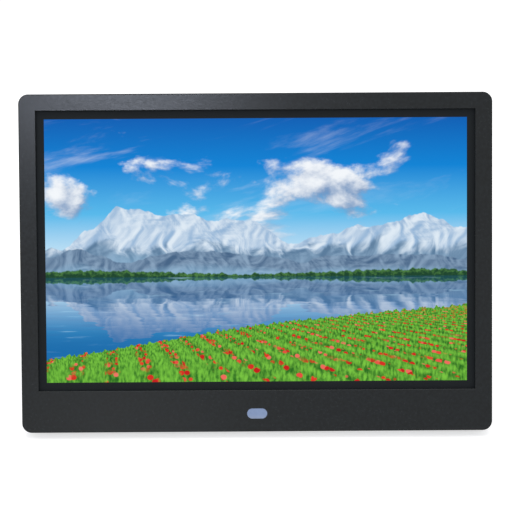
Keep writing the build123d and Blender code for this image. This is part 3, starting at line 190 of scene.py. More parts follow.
# Display glass
PICTURE_W = 217.0
PICTURE_H = 135.6
PICTURE_LEVEL = 1.0
GLASS_SKIN = 0.1  # depth of the cell's lit front face
GLASS_BLACK = srgb(33, 36, 38)
LIT_BLACK = srgb(8, 9, 10)
GLASS_SPECULAR = 0.05
FROST_SIZE = 0.15

# Display picture: a generic mountain lake, in picture heights from the picture's lower left corner
SKY_STOPS = (
    (0.5, srgb(186, 222, 244)),
    (0.64, srgb(86, 184, 234)),
    (0.82, srgb(0, 130, 212)),
    (1.0, srgb(0, 94, 180)),
)
STREAK_ALONG = (1.1, 0.8)  # how fast the streaks change with side and rise, along them
STREAK_ACROSS = (-1.6, 7.0)  # and across them
STREAK_EDGE = (0.52, 0.8)
STREAK_FADE = (0.5, 0.9)
STREAK_COVER = 0.5
CLOUD_LIGHT = srgb(248, 250, 252)
CLOUD_SHADE = srgb(120, 150, 190)
CLOUD_SCALE = (2.7, 4.6)
CLOUD_SEED = 3.7
CLOUD_SUN = (-0.09, 0.16)  # step towards the light, on the clouds' scale
CLOUD_LOW_FADE = (0.5, 0.66)
CLOUD_HIGH_FADE = (0.94, 0.78)
CLOUD_GATHER = 0.12  # how much thicker clouds are inside their band
CLOUD_EDGE = (0.6, 0.7)
CLOUD_COVER = 0.95
CLOUD_RELIEF = 2.6
CLOUD_LIFT = 0.5  # how much brighter clouds are for each picture height
CLOUD_TONES = (0.08, 0.63)
LAKE_TOP = 0.4
MOUNTAIN_RANGES = (
    # height, swing, pitch, seed, share of haze and share of snow, far range first
    (0.26, 0.66, 1.5, 8.3, 0.25, 0.95),
    (0.36, 0.24, 2.6, 2.9, 0.1, 0.0),
)
BEND_SCALE = (5.0, 5.0)
BEND_REACH = 2.0
SPUR_SCALE = (7.0, 6.0)
SPUR_CREASE = 4.0
SPUR_SUN = (-0.012, 0.006)  # step towards the light
SPUR_TONES = (-0.35, 0.35)
ROCK_SHADE = srgb(48, 78, 116)
ROCK_LIGHT = srgb(134, 158, 184)
SNOW_SHADE = srgb(150, 178, 212)
SNOW_LIGHT = srgb(244, 248, 252)
SNOW_SLIDE = 0.08  # how far the spurs carry the snow down
SNOW_LINE = (0.43, 0.5)  # in swings above the range's height
HAZE = srgb(150, 196, 228)
HAZE_TOP = 0.1  # in swings below the crest
HAZE_FOOT = 0.6
WOOD_SHADE = srgb(22, 66, 40)
WOOD_LIGHT = srgb(74, 124, 62)
SHORE = {"height": LAKE_TOP + 0.018, "swing": 0.008, "waves": 5.3, "shift": 0.6, "tufts": 0.03, "pitch": 40.0}
CROWN_SCALE = (60.0, 75.0)
CROWN_LIFT = 8.0
CROWN_TONES = (0.3, 0.62)
LAKE_NEAR = 0.12
WATER = srgb(2, 98, 164)
WATER_SHARE = (0.15, 0.9)  # of the water's own colour, far and near
MIRROR_STRETCH = 1.1
RIPPLE_SCALE = (5.0, 80.0)
RIPPLE_SHIFT = 0.5
RIPPLE_BLEND = 0.1
GLINT = srgb(168, 212, 238)
GLINT_EDGE = (0.6, 0.76)
GLINT_COVER = 0.5
SLOPE = {"height": 0.1, "swing": 0.014, "waves": 3.1, "shift": 5.2, "tufts": 0.045, "pitch": 65.0}
SLOPE_TILT = 0.125
VANISHING = (0.25, 0.4)
ROW_PITCH = 2.6
ROW_EDGE = (0.22, 0.14)
ROW_RAGGED = 0.3
ROW_LIGHT = 0.3
GRASS_SHADE = srgb(34, 104, 24)
GRASS_LIGHT = srgb(120, 196, 62)
GRASS_TONES = (0.35, 0.8)
BLADE_FINENESS = 2.4
FLOWER_STOPS = (
    (0.2, srgb(196, 22, 22)),
    (0.6, srgb(226, 52, 34)),
    (1.0, srgb(244, 118, 104)),
)
FLOWER_EDGE = (0.5, 0.36)
FLOWER_SQUASH = 1.2
FLOWER_BANDS = (
    # share of the slope's height and flowers per picture height, far band first
    (1.0, 84),
    (0.82, 62),
    (0.6, 46),
    (0.34, 34),
)
BAND_BLUR = 0.03
CREST_BLUR = 0.0006
EDGE_BLUR = 0.003

# Printed marks and contacts
INK = srgb(205, 208, 210)
BLOTCH_SIZE = 0.5
MARK_LINE = 0.45
MARK_T = 0.03
MARK_RISE = 6.6  # of a key's mark above the key's middle
MARK_INSET = 14.5  # of a socket's mark from the cover's side
ROUND_STEPS = 8  # in half a turn
TONGUE_T = 1.8  # of the USB socket
CONTACTS = 4
CONTACT_W = 1.0
CONTACT_PITCH = 2.3
CONTACT_L = 6.5
CONTACT_T = 0.12
CONTACT_SETBACK = 0.8


# Places on the leaning housing

ACROSS = Vector((1.0, 0.0, 0.0))
BACK = -Vector(next(joint["axis"] for joint in frame["joints"] if joint["name"] == "power_press"))
UP = ACROSS.cross(BACK)


def reach(node, axis):
    """Lowest and highest place of a node along an axis, in metres."""
    places = [vertex.co.dot(axis) for vertex in frame["nodes"][node].data.vertices]
    return min(places), max(places)


FACE = reach("front_bezel", BACK)[0]
FOOT = reach("front_bezel", UP)[0]


def direction(across, back, up):
    """A direction on the housing's axes, in the model's axes."""
    return ACROSS * across + BACK * back + UP * up


def place(across, back, up):
    """A point on the housing's axes, in the model's metres."""
    return direction(across * MM, FACE + back * MM, FOOT + up * MM)


def span(node):
    """Lowest and highest corner of a node on the housing's axes."""
    starts = ((ACROSS, 0.0), (BACK, FACE), (UP, FOOT))
    ends = [[(end - start) / MM for end in reach(node, axis)] for axis, start in starts]
    return Vector([end[0] for end in ends]), Vector([end[1] for end in ends])


def middle(node):
    """Middle of a node on the housing's axes."""
    low, high = span(node)
    return (low + high) / 2


# Shader nodes


class Field:
    """A value that varies over a surface: one output of a shader node, with plain arithmetic."""

    def __init__(self, graph, socket):
        self.graph = graph
        self.socket = socket

    def __add__(self, other):
        return self.graph.math("ADD", self, other)

    def __sub__(self, other):
        return self.graph.math("SUBTRACT", self, other)

    def __rsub__(self, other):
        return self.graph.math("SUBTRACT", other, self)

    def __mul__(self, other):
        return self.graph.math("MULTIPLY", self, other)

    def __truediv__(self, other):
        return self.graph.math("DIVIDE", self, other)

    def __rtruediv__(self, other):
        return self.graph.math("DIVIDE", other, self)

    __radd__ = __add__
    __rmul__ = __mul__

    def between(self, low, high):
        """Goes from low to high as this value goes from 0 to 1."""
        return self * (high - low) + low


class Graph:
    """The nodes of one material. Each pattern is added by a call that returns it as a Field."""

    def __init__(self, name):
        self.material = bpy.data.materials.new(name)
        self.material.use_nodes = True
        self.nodes = self.material.node_tree.nodes
        self.links = self.material.node_tree.links
        self.shader = self.nodes["Principled BSDF"]

    def feed(self, socket, value):
        """Sets a socket to a number, colour or vector, or links a Field to it."""
        if isinstance(value, Field):
            self.links.new(value.socket, socket)
        else:
            socket.default_value = value

    def add(self, kind, output, inputs=None, **settings):
        """A node of that kind with its inputs and settings."""
        node = self.nodes.new(kind)
        for name, value in settings.items():
            setattr(node, name, value)
        for name, value in (inputs or {}).items():
            self.feed(node.inputs[name], value)
        return Field(self, node.outputs[output])

    def math(self, operation, first, second=0.0):
        """Arithmetic on one or two values."""
        return self.add("ShaderNodeMath", 0, {0: first, 1: second}, operation=operation)

    def point(self):
        """The surface point, in metres of the model."""
        return self.add("ShaderNodeTexCoord", "Object")

    def in_units(self, x, y, z):
        """The surface point, counted along each axis in units of that size."""
        inputs = {0: self.point(), 1: Vector([1 / (size * MM) for size in (x, y, z)])}
        return self.add("ShaderNodeVectorMath", "Vector", inputs, operation="MULTIPLY")

    def along(self, axis, start=0.0):
        """The surface point's place along an axis, in millimetres from a start that is in metres."""
        inputs = {0: self.point(), 1: axis}
        return (self.add("ShaderNodeVectorMath", "Value", inputs, operation="DOT_PRODUCT") - start) / MM

    def across(self):
        """The surface point's place across the housing."""
        return self.along(ACROSS)

    def back(self):
        """The surface point's depth behind the bezel's face."""
        return self.along(BACK, FACE)

    def up(self):
        """The surface point's height above the bezel's lower edge."""
        return self.along(UP, FOOT)

    def vector(self, x, y, z=0.0):
        """A point from its parts."""
        return self.add("ShaderNodeCombineXYZ", 0, {0: x, 1: y, 2: z})

    def noise(self, where, detail=2.0, roughness=0.5, distortion=0.0):
        """Smooth noise about 0.5, with features one unit of the place apart."""
        inputs = {"Vector": where, "Scale": 1.0, "Detail": detail}
        inputs.update({"Roughness": roughness, "Distortion": distortion})
        return self.add("ShaderNodeTexNoise", 0, inputs)

    def grain(self, size, detail=2.0):
        """Even noise whose features are of that size."""
        return self.noise(self.in_units(size, size, size), detail)

    def cells(self, where, output="Distance"):
        """Voronoi cells one unit of the place apart."""
        return self.add("ShaderNodeTexVoronoi", output, {"Vector": where, "Scale": 1.0}, feature="F1")

    def cell_shades(self, where):
        """A random value for each of those cells."""
        return self.add("ShaderNodeSeparateColor", 0, {0: self.cells(where, output="Color")})

    def step(self, value, low, high):
        """Rises smoothly from 0 at low to 1 at high."""
        inputs = {"Value": value, "From Min": low, "From Max": high}
        return self.add("ShaderNodeMapRange", 0, inputs, interpolation_type="SMOOTHSTEP")

    def mix(self, share, first, second):
        """A colour between two others."""
        node = self.nodes.new("ShaderNodeMix")
        node.data_type = "RGBA"
        for index, value in ((0, share), (6, first), (7, second)):
            self.feed(node.inputs[index], value)
        return Field(self, node.outputs[2])

    def tones(self, share, colour, dark, light):
        """A colour that goes from a darker to a lighter tone of itself."""
        return self.mix(share, shade(colour, dark), shade(colour, light))

    def ramp(self, value, stops):
        """A colour from a row of stops, each a place and a colour."""
        field = self.add("ShaderNodeValToRGB", 0, {0: value})
        elements = field.socket.node.color_ramp.elements
        while len(elements) < len(stops):
            elements.new(1.0)
        for element, (at, colour) in zip(elements, stops):
            element.position = at
            element.color = colour
        return field

    def emboss(self, height, depth):
        """Bump of that depth from a height between 0 and 1."""
        bump = self.add("ShaderNodeBump", 0, {"Height": height, "Distance": depth * MM, "Strength": 1.0})
        self.feed(self.shader.inputs["Normal"], bump)

    def finish(self, colour, roughness, specular=0.5, metallic=0.0):
        """Sets the shader's colour, roughness, specular level and share of metal."""
        self.feed(self.shader.inputs["Base Color"], colour)
        self.feed(self.shader.inputs["Roughness"], roughness)
        self.feed(self.shader.inputs["Specular IOR Level"], specular)
        self.feed(self.shader.inputs["Metallic"], metallic)
        return self.material

    def glow(self, colour, strength):
        """Makes the surface give off light."""
        self.feed(self.shader.inputs["Emission Color"], colour)
        self.feed(self.shader.inputs["Emission Strength"], strength)


# Materials of the housing and of what it holds


def grained_plastic(name, colour, roughness, grain, depth, specular, pit_shade_and_mottle):
    """Moulded plastic with a spark-eroded grain of that size and depth.

    The grain's pits are painted darker and its raised grain lighter as painted shade, mixed with coarse
    random mottling by the share that the last argument gives. Handling leaves faint smudges.
    """
    graph = Graph(name)
    fine = graph.grain(grain, detail=3.0)
    coarse = graph.grain(grain * COARSE_GRAIN, detail=3.0)
    smudge = graph.grain(SMUDGE_SIZE, detail=4.0)
    # painted shade: pits darkened and raised grain lightened, with coarse random mottling mixed in
    lit_tops_and_mottling = graph.step(fine, PIT, TOP) * (1 - COARSE_SHARE) + coarse * COARSE_SHARE
    tone = graph.tones(lit_tops_and_mottling, colour, dark=1 - pit_shade_and_mottle, light=1 + pit_shade_and_mottle)
    uneven = (fine - 0.5) * GRAIN_GLOSS + (smudge - 0.5) * SMUDGE_GLOSS
    graph.emboss(fine, depth)
    return graph.finish(tone, uneven + roughness, specular=specular)


def soft_rubber(name, colour, grain, depth):
    """Matte rubber, foam or soft sheath with a fine open texture and a little dust."""
    graph = Graph(name)
    fine = graph.grain(grain, detail=4.0)
    dust = graph.grain(grain * DUST_SIZE, detail=3.0)
    tone = graph.tones(dust, colour, dark=0.75, light=1.5)
    graph.emboss(fine, depth)
    return graph.finish(tone, fine.between(0.72, 0.92), specular=0.2)


def drawn_metal(name, colour, roughness, length, fineness):
    """Rolled or drawn metal with faint lines of that length."""
    graph = Graph(name)
    lines = graph.noise(graph.in_units(*[length / times for times in fineness]), detail=4.0)
    tone = graph.tones(lines, colour, dark=0.8, light=1.1)
    graph.emboss(lines, LINE_DEPTH)
    return graph.finish(tone, lines.between(roughness - 0.12, roughness + 0.13), metallic=1.0)


def spangled_steel(name):
    """Galvanised sheet with its crystal spangle."""
    graph = Graph(name)
    crystals = graph.cell_shades(graph.in_units(SPANGLE_SIZE, SPANGLE_SIZE, SPANGLE_SIZE))
    tone = graph.tones(crystals, TRAY_GREY, dark=0.75, light=1.1)
    return graph.finish(tone, crystals.between(0.3, 0.5), metallic=1.0)


def ferrite(name, colour):
    """Sintered ferrite, dark with a fine metallic glitter."""
    graph = Graph(name)
    specks = graph.step(graph.grain(SPECK_SIZE), *SPECK_EDGE)
    tone = graph.tones(specks, colour, dark=0.8, light=2.2)
    graph.emboss(specks, SPECK_DEPTH)
    return graph.finish(tone, specks.between(0.62, 0.37), metallic=0.3)


def circuit_board(name):
    """Solder mask over copper tracks, which run level and upright in patches, with tinned round pads."""
    graph = Graph(name)
    across = graph.across()
    up = graph.up()
    patch = graph.step(graph.noise(graph.vector(across / TRACK_PATCH, up / TRACK_PATCH)), *PATCH_EDGE)
    level = graph.step(graph.math("PINGPONG", up, TRACK_HALF_PITCH), *TRACK_EDGE)
    upright = graph.step(graph.math("PINGPONG", across, TRACK_HALF_PITCH), *TRACK_EDGE)
    tracks = level * patch + upright * (1 - patch)
    pads = graph.step(graph.cells(graph.vector(across / PAD_PITCH, up / PAD_PITCH)), *PAD_EDGE)
    tone = graph.mix(pads, graph.tones(tracks, BOARD_MASK, dark=1.0, light=2.0), BOARD_TIN)
    graph.emboss(tracks, TRACK_DEPTH)
    return graph.finish(tone, tracks.between(0.38, 0.3))


def flex_film(name):
    """Amber film with fine tracks that run up it."""
    graph = Graph(name)
    tracks = graph.step(graph.math("PINGPONG", graph.across(), FILM_HALF_PITCH), *FILM_EDGE)
    return graph.finish(graph.mix(tracks, FILM_AMBER, FILM_COPPER), tracks.between(0.34, 0.4))


def light_guide(name):
    """Clear sheet with its printed field of white dots."""
    graph = Graph(name)
    spot = graph.vector(graph.across() / DOT_PITCH, graph.up() / DOT_PITCH)
    dots = graph.step(graph.cells(spot), *DOT_EDGE)
    return graph.finish(graph.mix(dots, GUIDE_CLEAR, GUIDE_DOT), dots.between(0.12, 0.62))


def pulp_cone(name):
    """Pressed paper pulp with short fibres."""
    graph = Graph(name)
    fibres = graph.noise(graph.in_units(*FIBRE_SIZE), detail=5.0, distortion=1.5)
    tone = graph.tones(fibres, CONE_BLACK, dark=0.6, light=1.6)
    graph.emboss(fibres, FIBRE_DEPTH)
    return graph.finish(tone, fibres.between(0.8, 0.95), specular=0.2)


def infrared_window(name):
    """Milky pale blue moulding; painted light makes its lower edge and round ends a little paler."""
    graph = Graph(name)
    low, high = span("ir_window")
    half = (high.x - low.x) / 2
    ends = graph.step(graph.math("ABSOLUTE", graph.across()), half * RIM_START, half)
    # painted light: the lower edge and the round ends are made paler
    lit_rim = graph.math("MAXIMUM", ends, graph.step(graph.up(), middle("ir_window").z, low.z))
    milk = graph.grain(MILK_SIZE, detail=3.0)
    body = graph.tones(milk, WINDOW_BLUE, dark=1.0, light=1.12)
    return graph.finish(graph.mix(lit_rim * LIT_RIM_SHARE, body, WINDOW_LIT_RIM), milk.between(0.3, 0.4), specular=0.3)


def printed_ink(name):
    """Pad-printed pale ink, a little uneven."""
    graph = Graph(name)
    blotch = graph.grain(BLOTCH_SIZE, detail=3.0)
    tone = graph.tones(blotch, INK, dark=0.75, light=1.0)
    return graph.finish(tone, blotch.between(0.55, 0.65), specular=0.3)


# Display


def rescaled(graph, side, rise, scale, seed=0.0):
    """A point of the picture with side and rise multiplied."""
    return graph.vector(side * scale[0], rise * scale[1], seed)


def over(graph, picture, cover, colour):
    """A picture with a layer painted over it where the layer covers it."""
    return graph.mix(cover, picture, colour)


def hill_line(graph, side, height, swing, waves, shift, tufts, pitch):
    """Upper edge of a hill: a slow wave, with small tufts where plants stand on it."""
    wave = graph.math("SINE", side * waves + shift) * swing + height
    return wave + (graph.noise(graph.vector(side * pitch, shift), detail=3.0) - 0.5) * tufts


def below(graph, rise, line, blur=EDGE_BLUR):
    """Cover of what lies under an edge."""
    return graph.step(rise - line, blur, -blur)


def paint_sky(graph, side, rise):
    """Blue that fades towards the horizon, with thin high streaks."""
    along = side * STREAK_ALONG[0] + rise * STREAK_ALONG[1]
    across = side * STREAK_ACROSS[0] + rise * STREAK_ACROSS[1]
    streaks = graph.noise(graph.vector(along, across), detail=7.0, roughness=0.6, distortion=0.6)
    thin = graph.step(streaks, *STREAK_EDGE) * graph.step(rise, *STREAK_FADE) * STREAK_COVER
    return over(graph, graph.ramp(rise, SKY_STOPS), thin, CLOUD_LIGHT)


def heaps(graph, side, rise, aside=(0.0, 0.0)):
    """Thickness of the clouds at a point, or a step aside of it."""
    spot = graph.vector(side * CLOUD_SCALE[0] + aside[0], rise * CLOUD_SCALE[1] + aside[1], CLOUD_SEED)
    return graph.noise(spot, detail=9.0, roughness=0.55, distortion=0.2)


def paint_clouds(graph, picture, side, rise):
    """Heaped clouds in a loose band, lit from the upper left."""
    heap = heaps(graph, side, rise)
    relief = heap - heaps(graph, side, rise, CLOUD_SUN)
    band = graph.step(rise, *CLOUD_LOW_FADE) * graph.step(rise, *CLOUD_HIGH_FADE)
    cover = graph.step(heap + band * CLOUD_GATHER, *CLOUD_EDGE) * CLOUD_COVER
    light = graph.step(relief * CLOUD_RELIEF + rise * CLOUD_LIFT, *CLOUD_TONES)
    return over(graph, picture, cover, graph.mix(light, CLOUD_SHADE, CLOUD_LIGHT))


def spurs(graph, side, rise, seed):
    """Height of the sharp spurs that run down a slope."""
    bends = graph.noise(rescaled(graph, side, rise, BEND_SCALE, seed)) * BEND_REACH
    spot = graph.vector(side * SPUR_SCALE[0] + bends, rise * SPUR_SCALE[1] + bends, seed)
    return 1 - graph.math("ABSOLUTE", (graph.noise(spot, detail=6.0) - 0.5) * SPUR_CREASE)


def paint_mountains(graph, picture, side, rise):
    """Two ranges lit from the left, the far one with snow."""
    for height, swing, pitch, seed, haze, snow_share in MOUNTAIN_RANGES:
        crest = graph.noise(graph.vector(side * pitch, seed), detail=6.0) * swing + height
        slope = spurs(graph, side, rise, seed)
        sunward = spurs(graph, side + SPUR_SUN[0], rise + SPUR_SUN[1], seed)
        light = graph.step(slope - sunward, *SPUR_TONES)
        rock = graph.mix(light, ROCK_SHADE, ROCK_LIGHT)
        snow = graph.step(rise + slope * SNOW_SLIDE - height, *[swing * share for share in SNOW_LINE])
        face = over(graph, rock, snow * snow_share, graph.mix(light, SNOW_SHADE, SNOW_LIGHT))
        mist = graph.step(rise, crest - swing * HAZE_TOP, LAKE_TOP) * HAZE_FOOT
        hazy = graph.mix(graph.math("MAXIMUM", mist, haze), face, HAZE)
        picture = over(graph, picture, below(graph, rise, crest), hazy)
    return picture


def paint_woods(graph, picture, side, rise):
    """Trees along the far shore, with sunlit crowns."""
    line = hill_line(graph, side, **SHORE)
    crowns = graph.noise(rescaled(graph, side, rise, CROWN_SCALE), detail=4.0, roughness=0.6)
    light = graph.step(crowns + (rise - line) * CROWN_LIFT, *CROWN_TONES)
    return over(graph, picture, below(graph, rise, line), graph.mix(light, WOOD_SHADE, WOOD_LIGHT))


def paint_lake(graph, picture, side, rise):
    """Rippled water that mirrors the far shore and the ranges, and is deeper blue close by."""
    ripples = graph.noise(rescaled(graph, side, rise, RIPPLE_SCALE), detail=5.0)
    depth = (LAKE_TOP - rise) * MIRROR_STRETCH
    mirrored = LAKE_TOP + depth + (ripples - 0.5) * depth * RIPPLE_SHIFT
    image = paint_sky(graph, side, mirrored)
    for layer in (paint_mountains, paint_woods):
        image = layer(graph, image, side, mirrored)
    near = graph.step(rise + (ripples - 0.5) * RIPPLE_BLEND, LAKE_TOP, LAKE_NEAR)
    water = over(graph, image, near.between(*WATER_SHARE), WATER)
    glints = graph.step(ripples, *GLINT_EDGE) * GLINT_COVER
    return over(graph, picture, below(graph, rise, LAKE_TOP), over(graph, water, glints, GLINT))


def flowers(graph, side, rise, row, scale):
    """Grass with flowers where row is low. There are as many flowers in a picture height as scale says."""
    blades = graph.noise(rescaled(graph, side, rise, (scale * BLADE_FINENESS, scale)), detail=4.0)
    grass = graph.mix(graph.step(blades + row * ROW_LIGHT, *GRASS_TONES), GRASS_SHADE, GRASS_LIGHT)
    spot = rescaled(graph, side, rise, (scale, scale * FLOWER_SQUASH))
    heads = graph.step(graph.cells(spot), *FLOWER_EDGE)
    in_row = graph.step(row + (blades - 0.5) * ROW_RAGGED, *ROW_EDGE)
    return over(graph, grass, heads * in_row, graph.ramp(graph.cell_shades(spot), FLOWER_STOPS))


def paint_rows(graph, picture, side, rise):
    """Rows of red flowers on a slope that climbs to the right. The flowers get larger band by band."""
    crest = hill_line(graph, side, **SLOPE) + side * SLOPE_TILT
    away = 1 / (VANISHING[1] - rise)
    row = graph.math("PINGPONG", (side - VANISHING[0]) * away * ROW_PITCH, 0.5)
    for share, scale in FLOWER_BANDS:
        cover = below(graph, rise, crest * share, BAND_BLUR * (1 - share) + CREST_BLUR)
        picture = over(graph, picture, cover, flowers(graph, side, rise, row, scale))
    return picture


def landscape(graph, side, rise):
    """The whole picture, from the sky to what is nearest."""
    picture = paint_sky(graph, side, rise)
    for layer in (paint_clouds, paint_mountains, paint_woods, paint_lake, paint_rows):
        picture = layer(graph, picture, side, rise)
    return picture


def display_glass(name):
    """Matte glass: the lit picture on its front, inside a dark margin."""
    graph = Graph(name)
    centre = middle("lcd_cell")
    half = PICTURE_W / PICTURE_H / 2
    side = (graph.across() - centre.x) / PICTURE_H
    rise = (graph.up() - centre.z) / PICTURE_H
    lit = graph.math("LESS_THAN", graph.back(), span("lcd_cell")[0].y + GLASS_SKIN)
    lit = lit * graph.math("LESS_THAN", graph.math("ABSOLUTE", side), half)
    lit = lit * graph.math("LESS_THAN", graph.math("ABSOLUTE", rise), 0.5)
    frost = graph.grain(FROST_SIZE)
    margin = graph.tones(frost, GLASS_BLACK, dark=0.9, light=1.1)
    graph.glow(graph.mix(lit, srgb(0, 0, 0), landscape(graph, side + half, rise + 0.5)), PICTURE_LEVEL)
    tone = graph.mix(lit, margin, LIT_BLACK)
    return graph.finish(tone, frost.between(0.45, 0.55), specular=GLASS_SPECULAR)


# Finishes of the record's slots


def slot_materials():
    """One material for each of the record's slots."""
    tables = ((grained_plastic, PLASTICS), (soft_rubber, RUBBERS), (drawn_metal, METALS))
    materials = {slot: make(slot, *row) for make, table in tables for slot, row in table.items()}
    for slot, colour in FERRITES.items():
        materials[slot] = ferrite(slot, colour)
    materials["window_plastic"] = infrared_window("window_plastic")
    materials["display_glass"] = display_glass("display_glass")
    materials["clear_plastic"] = light_guide("clear_plastic")
    materials["tray_steel"] = spangled_steel("tray_steel")
    materials["circuit_board"] = circuit_board("circuit_board")
    materials["flex_film"] = flex_film("flex_film")
    materials["speaker_paper"] = pulp_cone("speaker_paper")
    return materials


def dress_nodes(materials):
    """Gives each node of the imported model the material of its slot."""
    for subpart in frame["record"]["subparts"]:
        mesh = frame["nodes"][subpart["node"]].data
        mesh.materials.clear()
        mesh.materials.append(materials[subpart["material_slot"]])


# Printed marks and contacts: outlines are lists of points, in millimetres


def polar(centre, radius, degrees):
    """The point at an angle on a circle."""
    angle = math.radians(degrees)
    return centre[0] + radius * math.cos(angle), centre[1] + radius * math.sin(angle)


def bar(start, end, width=MARK_LINE):
    """A straight line with round ends."""
    heading = math.degrees(math.atan2(end[1] - start[1], end[0] - start[0]))
    turns = [180 * i / ROUND_STEPS - 90 for i in range(ROUND_STEPS + 1)]
    front = [polar(end, width / 2, heading + turn) for turn in turns]
    return front + [polar(start, width / 2, heading + 180 + turn) for turn in turns]


def arc(radius, start, end):
    """A stretch of a ring about the middle."""
    steps = 2 * ROUND_STEPS
    turns = [start + (end - start) * i / steps for i in range(steps + 1)]
    outer = [polar((0.0, 0.0), radius + MARK_LINE / 2, turn) for turn in turns]
    return outer + [polar((0.0, 0.0), radius - MARK_LINE / 2, turn) for turn in reversed(turns)]


def disc(radius):
    """A filled circle about the middle."""
    return [polar((0.0, 0.0), radius, 180 * i / ROUND_STEPS) for i in range(2 * ROUND_STEPS)]


def bars_round(corners):
    """Bars round a closed row of corners."""
    return [bar(start, end) for start, end in zip(corners, corners[1:] + corners[:1])]


CARD_CORNERS = [(-1.3, -1.7), (1.3, -1.7), (1.3, 1.7), (-0.4, 1.7), (-1.3, 0.8)]
PLUG_CORNERS = [(-1.8, -0.9), (1.8, -0.9), (1.8, 0.9), (-1.8, 0.9)]
RETURN_HEAD = [(-1.8, -0.5), (-0.5, -1.4), (-0.5, 0.4)]
EAR_W = 0.9

KEY_MARKS = {
    "power": [arc(1.4, 125, 415), bar((0, 0.2), (0, 1.8))],
    "menu": [bar((-1.5, rise), (1.5, rise)) for rise in (-1.1, 0.0, 1.1)],
    "previous": [[(-1.6, -1.1), (1.6, -1.1), (0.0, 1.5)]],
    "next": [[(-1.6, 1.1), (0.0, -1.5), (1.6, 1.1)]],
    "enter": [bar((1.5, 1.3), (1.5, -0.5)), bar((1.5, -0.5), (-0.6, -0.5)), RETURN_HEAD],
    "exit": [bar((-1.2, -1.2), (1.2, 1.2)), bar((-1.2, 1.2), (1.2, -1.2))],
}
SOCKET_MARKS = {
    "card_socket": bars_round(CARD_CORNERS),
    "usb_socket": bars_round(PLUG_CORNERS) + [bar((-1.0, 0.0), (1.0, 0.0))],
    "headphone_jack": [arc(1.5, 0, 180)] + [bar((ear, 0), (ear, -1.0), EAR_W) for ear in (-1.5, 1.5)],
    "dc_jack": [arc(1.5, 0, 180), arc(1.5, 180, 360), disc(0.55)],
}


def raised(name, outlines, to_model, thickness, material):
    """A thin piece whose outlines rise from a surface.

    to_model turns an outline's point and a lift from the surface into a place in the model.
    """
    shape = bmesh.new()
    for outline in outlines:
        low = [shape.verts.new(to_model(u, w, 0.0)) for u, w in outline]
        high = [shape.verts.new(to_model(u, w, thickness)) for u, w in outline]
        shape.faces.new(low)
        shape.faces.new(high)
        for i in range(len(outline)):
            shape.faces.new((low[i - 1], low[i], high[i], high[i - 1]))
    bmesh.ops.recalc_face_normals(shape, faces=shape.faces)
    mesh = bpy.data.meshes.new(name)
    shape.to_mesh(mesh)
    shape.free()
    mesh.materials.append(material)
    piece = bpy.data.objects.new(name, mesh)
    bpy.context.scene.collection.objects.link(piece)
    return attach(piece, "frame")


def printed_mark(name, outlines, across, up, ink):
    """Ink on the cover's back, drawn as someone behind the frame sees it."""
    plateau = span("rear_cover")[1].y

    def on_cover(u, w, lift):
        return place(across - u, plateau + lift, up + w)

    raised(name, outlines, on_cover, MARK_T, ink)


def printed_marks(ink):
    """A plain sign above each key and beside each socket."""
    for key, outlines in KEY_MARKS.items():
        at = middle(f"{key}_key")
        printed_mark(f"{key}_mark", outlines, at.x, at.z + MARK_RISE, ink)
    side = span("rear_cover")[1].x
    for node, outlines in SOCKET_MARKS.items():
        printed_mark(f"{node}_mark", outlines, side - MARK_INSET, middle(node).z, ink)


def usb_contacts(metal):
    """Plated strips on the tongue of the USB socket."""
    centre = middle("usb_insulator")
    front = span("usb_insulator")[1].x - CONTACT_SETBACK
    outlines = []
    for i in range(CONTACTS):
        up = centre.z + (i - (CONTACTS - 1) / 2) * CONTACT_PITCH
        outlines.append(bar((front - CONTACT_L, up), (front, up), CONTACT_W))

    def on_tongue(u, w, lift):
        return place(u, centre.y + TONGUE_T / 2 + lift, w)

    piece = raised("usb_contacts", outlines, on_tongue, CONTACT_T, metal)


# Studio


def seen_directly(nodes, links):
    """1 for rays that show the background: straight, mirrored or through glass."""
    path = nodes.new("ShaderNodeLightPath")
    total = path.outputs["Is Camera Ray"]
    for kind in ("Is Glossy Ray", "Is Transmission Ray"):
        either = nodes.new("ShaderNodeMath")
        either.operation = "MAXIMUM"
        links.new(total, either.inputs[0])
        links.new(path.outputs[kind], either.inputs[1])
        total = either.outputs[0]
    return total


def studio_world():
    """White where it is seen, and a plain grey light elsewhere."""
    world = bpy.data.worlds.new("studio")
    world.use_nodes = True
    nodes = world.node_tree.nodes
    links = world.node_tree.links
    background = nodes["Background"]
    background.inputs["Color"].default_value = WHITE
    level = nodes.new("ShaderNodeMapRange")
    links.new(seen_directly(nodes, links), level.inputs["Value"])
    level.inputs["To Min"].default_value = AMBIENT
    links.new(level.outputs[0], background.inputs["Strength"])
    bpy.context.scene.world = world


def floor_material():
    """Pale floor that keeps shadows and glows a little where it is seen, so that it shows white."""
    graph = Graph("floor")
    tone = graph.tones(graph.grain(FLOOR_WASH), FLOOR_GREY, dark=0.99, light=1.01)
    graph.glow(WHITE, Field(graph, seen_directly(graph.nodes, graph.links)) * FLOOR_GLOW)
    return graph.finish(tone, roughness=0.9, specular=0.0)


def studio_floor():
    """Wide level floor under the feet."""
    half = FLOOR_SIDE * MM / 2
    mesh = bpy.data.meshes.new("floor")
    corners = [(-half, -half, 0), (half, -half, 0), (half, half, 0), (-half, half, 0)]
    mesh.from_pydata(corners, [], [(0, 1, 2, 3)])
    mesh.materials.append(floor_material())
    floor = bpy.data.objects.new("floor", mesh)
    bpy.context.scene.collection.objects.link(floor)


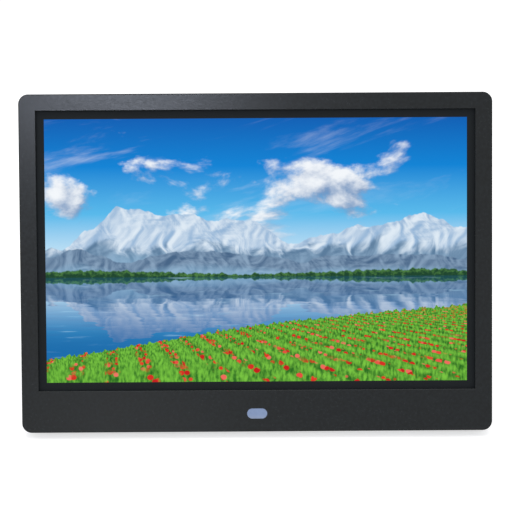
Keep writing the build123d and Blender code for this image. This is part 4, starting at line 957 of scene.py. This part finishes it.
def lamp(name, at, target, width, height, level, tint=NEUTRAL):
    """Soft rectangular lamp of that radiance, aimed at a target. Places are in metres."""
    light = bpy.data.lights.new(name, "AREA")
    light.color = tint
    light.shape = "RECTANGLE"
    light.size = width * MM
    light.size_y = height * MM
    light.energy = level * LAMP_POWER * light.size * light.size_y
    holder = bpy.data.objects.new(name, light)
    holder.location = at
    holder.rotation_mode = "QUATERNION"
    holder.rotation_quaternion = (target - at).to_track_quat("-Z", "Y")
    holder.visible_camera = False
    bpy.context.scene.collection.objects.link(holder)


def mirrored_lamp(name, spot, width, height, level, tint=NEUTRAL):
    """Lamp that the camera sees mirrored at a spot on the bezel's face."""
    ray = spot - CAMERA_AT
    at = spot + Vector((ray.x, -ray.y, ray.z)).normalized() * LAMP_DISTANCE
    lamp(name, place(*at), place(*spot), width, height, level, tint)


def studio_lamps():
    """A softbox that the bezel mirrors at its upper left, and broad fill from above and behind."""
    mirrored_lamp("softbox", SOFTBOX_SPOT, SOFTBOX_W, SOFTBOX_H, SOFTBOX_LEVEL, SOFTBOX_TINT)
    mirrored_lamp("front_fill", FILL_SPOT, FILL_W, FILL_H, FILL_LEVEL)
    centre = (cad_box[0] + cad_box[1]) / 2
    for name, at, width, height, level in BROAD_LAMPS:
        lamp(name, Vector(at), centre, width, height, level)


def photo_camera():
    """Camera at the photograph's place and angle."""
    turn = Matrix.Rotation(math.radians(CAMERA_YAW), 3, "Z")
    turn = turn @ Matrix.Rotation(math.radians(CAMERA_ROLL), 3, "Y")
    turn = turn @ Matrix.Rotation(math.radians(CAMERA_PITCH), 3, "X")
    right, ahead, top = [direction(*row) for row in turn]
    axes = Matrix((right, top, -ahead)).transposed()
    data = bpy.data.cameras.new("photo_camera")
    data.lens = FOCAL
    data.clip_start = CLIP_START * MM
    camera = bpy.data.objects.new("photo_camera", data)
    camera.matrix_world = Matrix.Translation(place(*CAMERA_AT)) @ axes.to_4x4()
    bpy.context.scene.collection.objects.link(camera)
    bpy.context.scene.camera = camera


# Assembly

bpy.context.scene.view_settings.view_transform = "Standard"
photo_camera()
finishes = slot_materials()
dress_nodes(finishes)
printed_marks(printed_ink("printed_ink"))
usb_contacts(finishes["contact_metal"])
studio_world()
studio_floor()
studio_lamps()
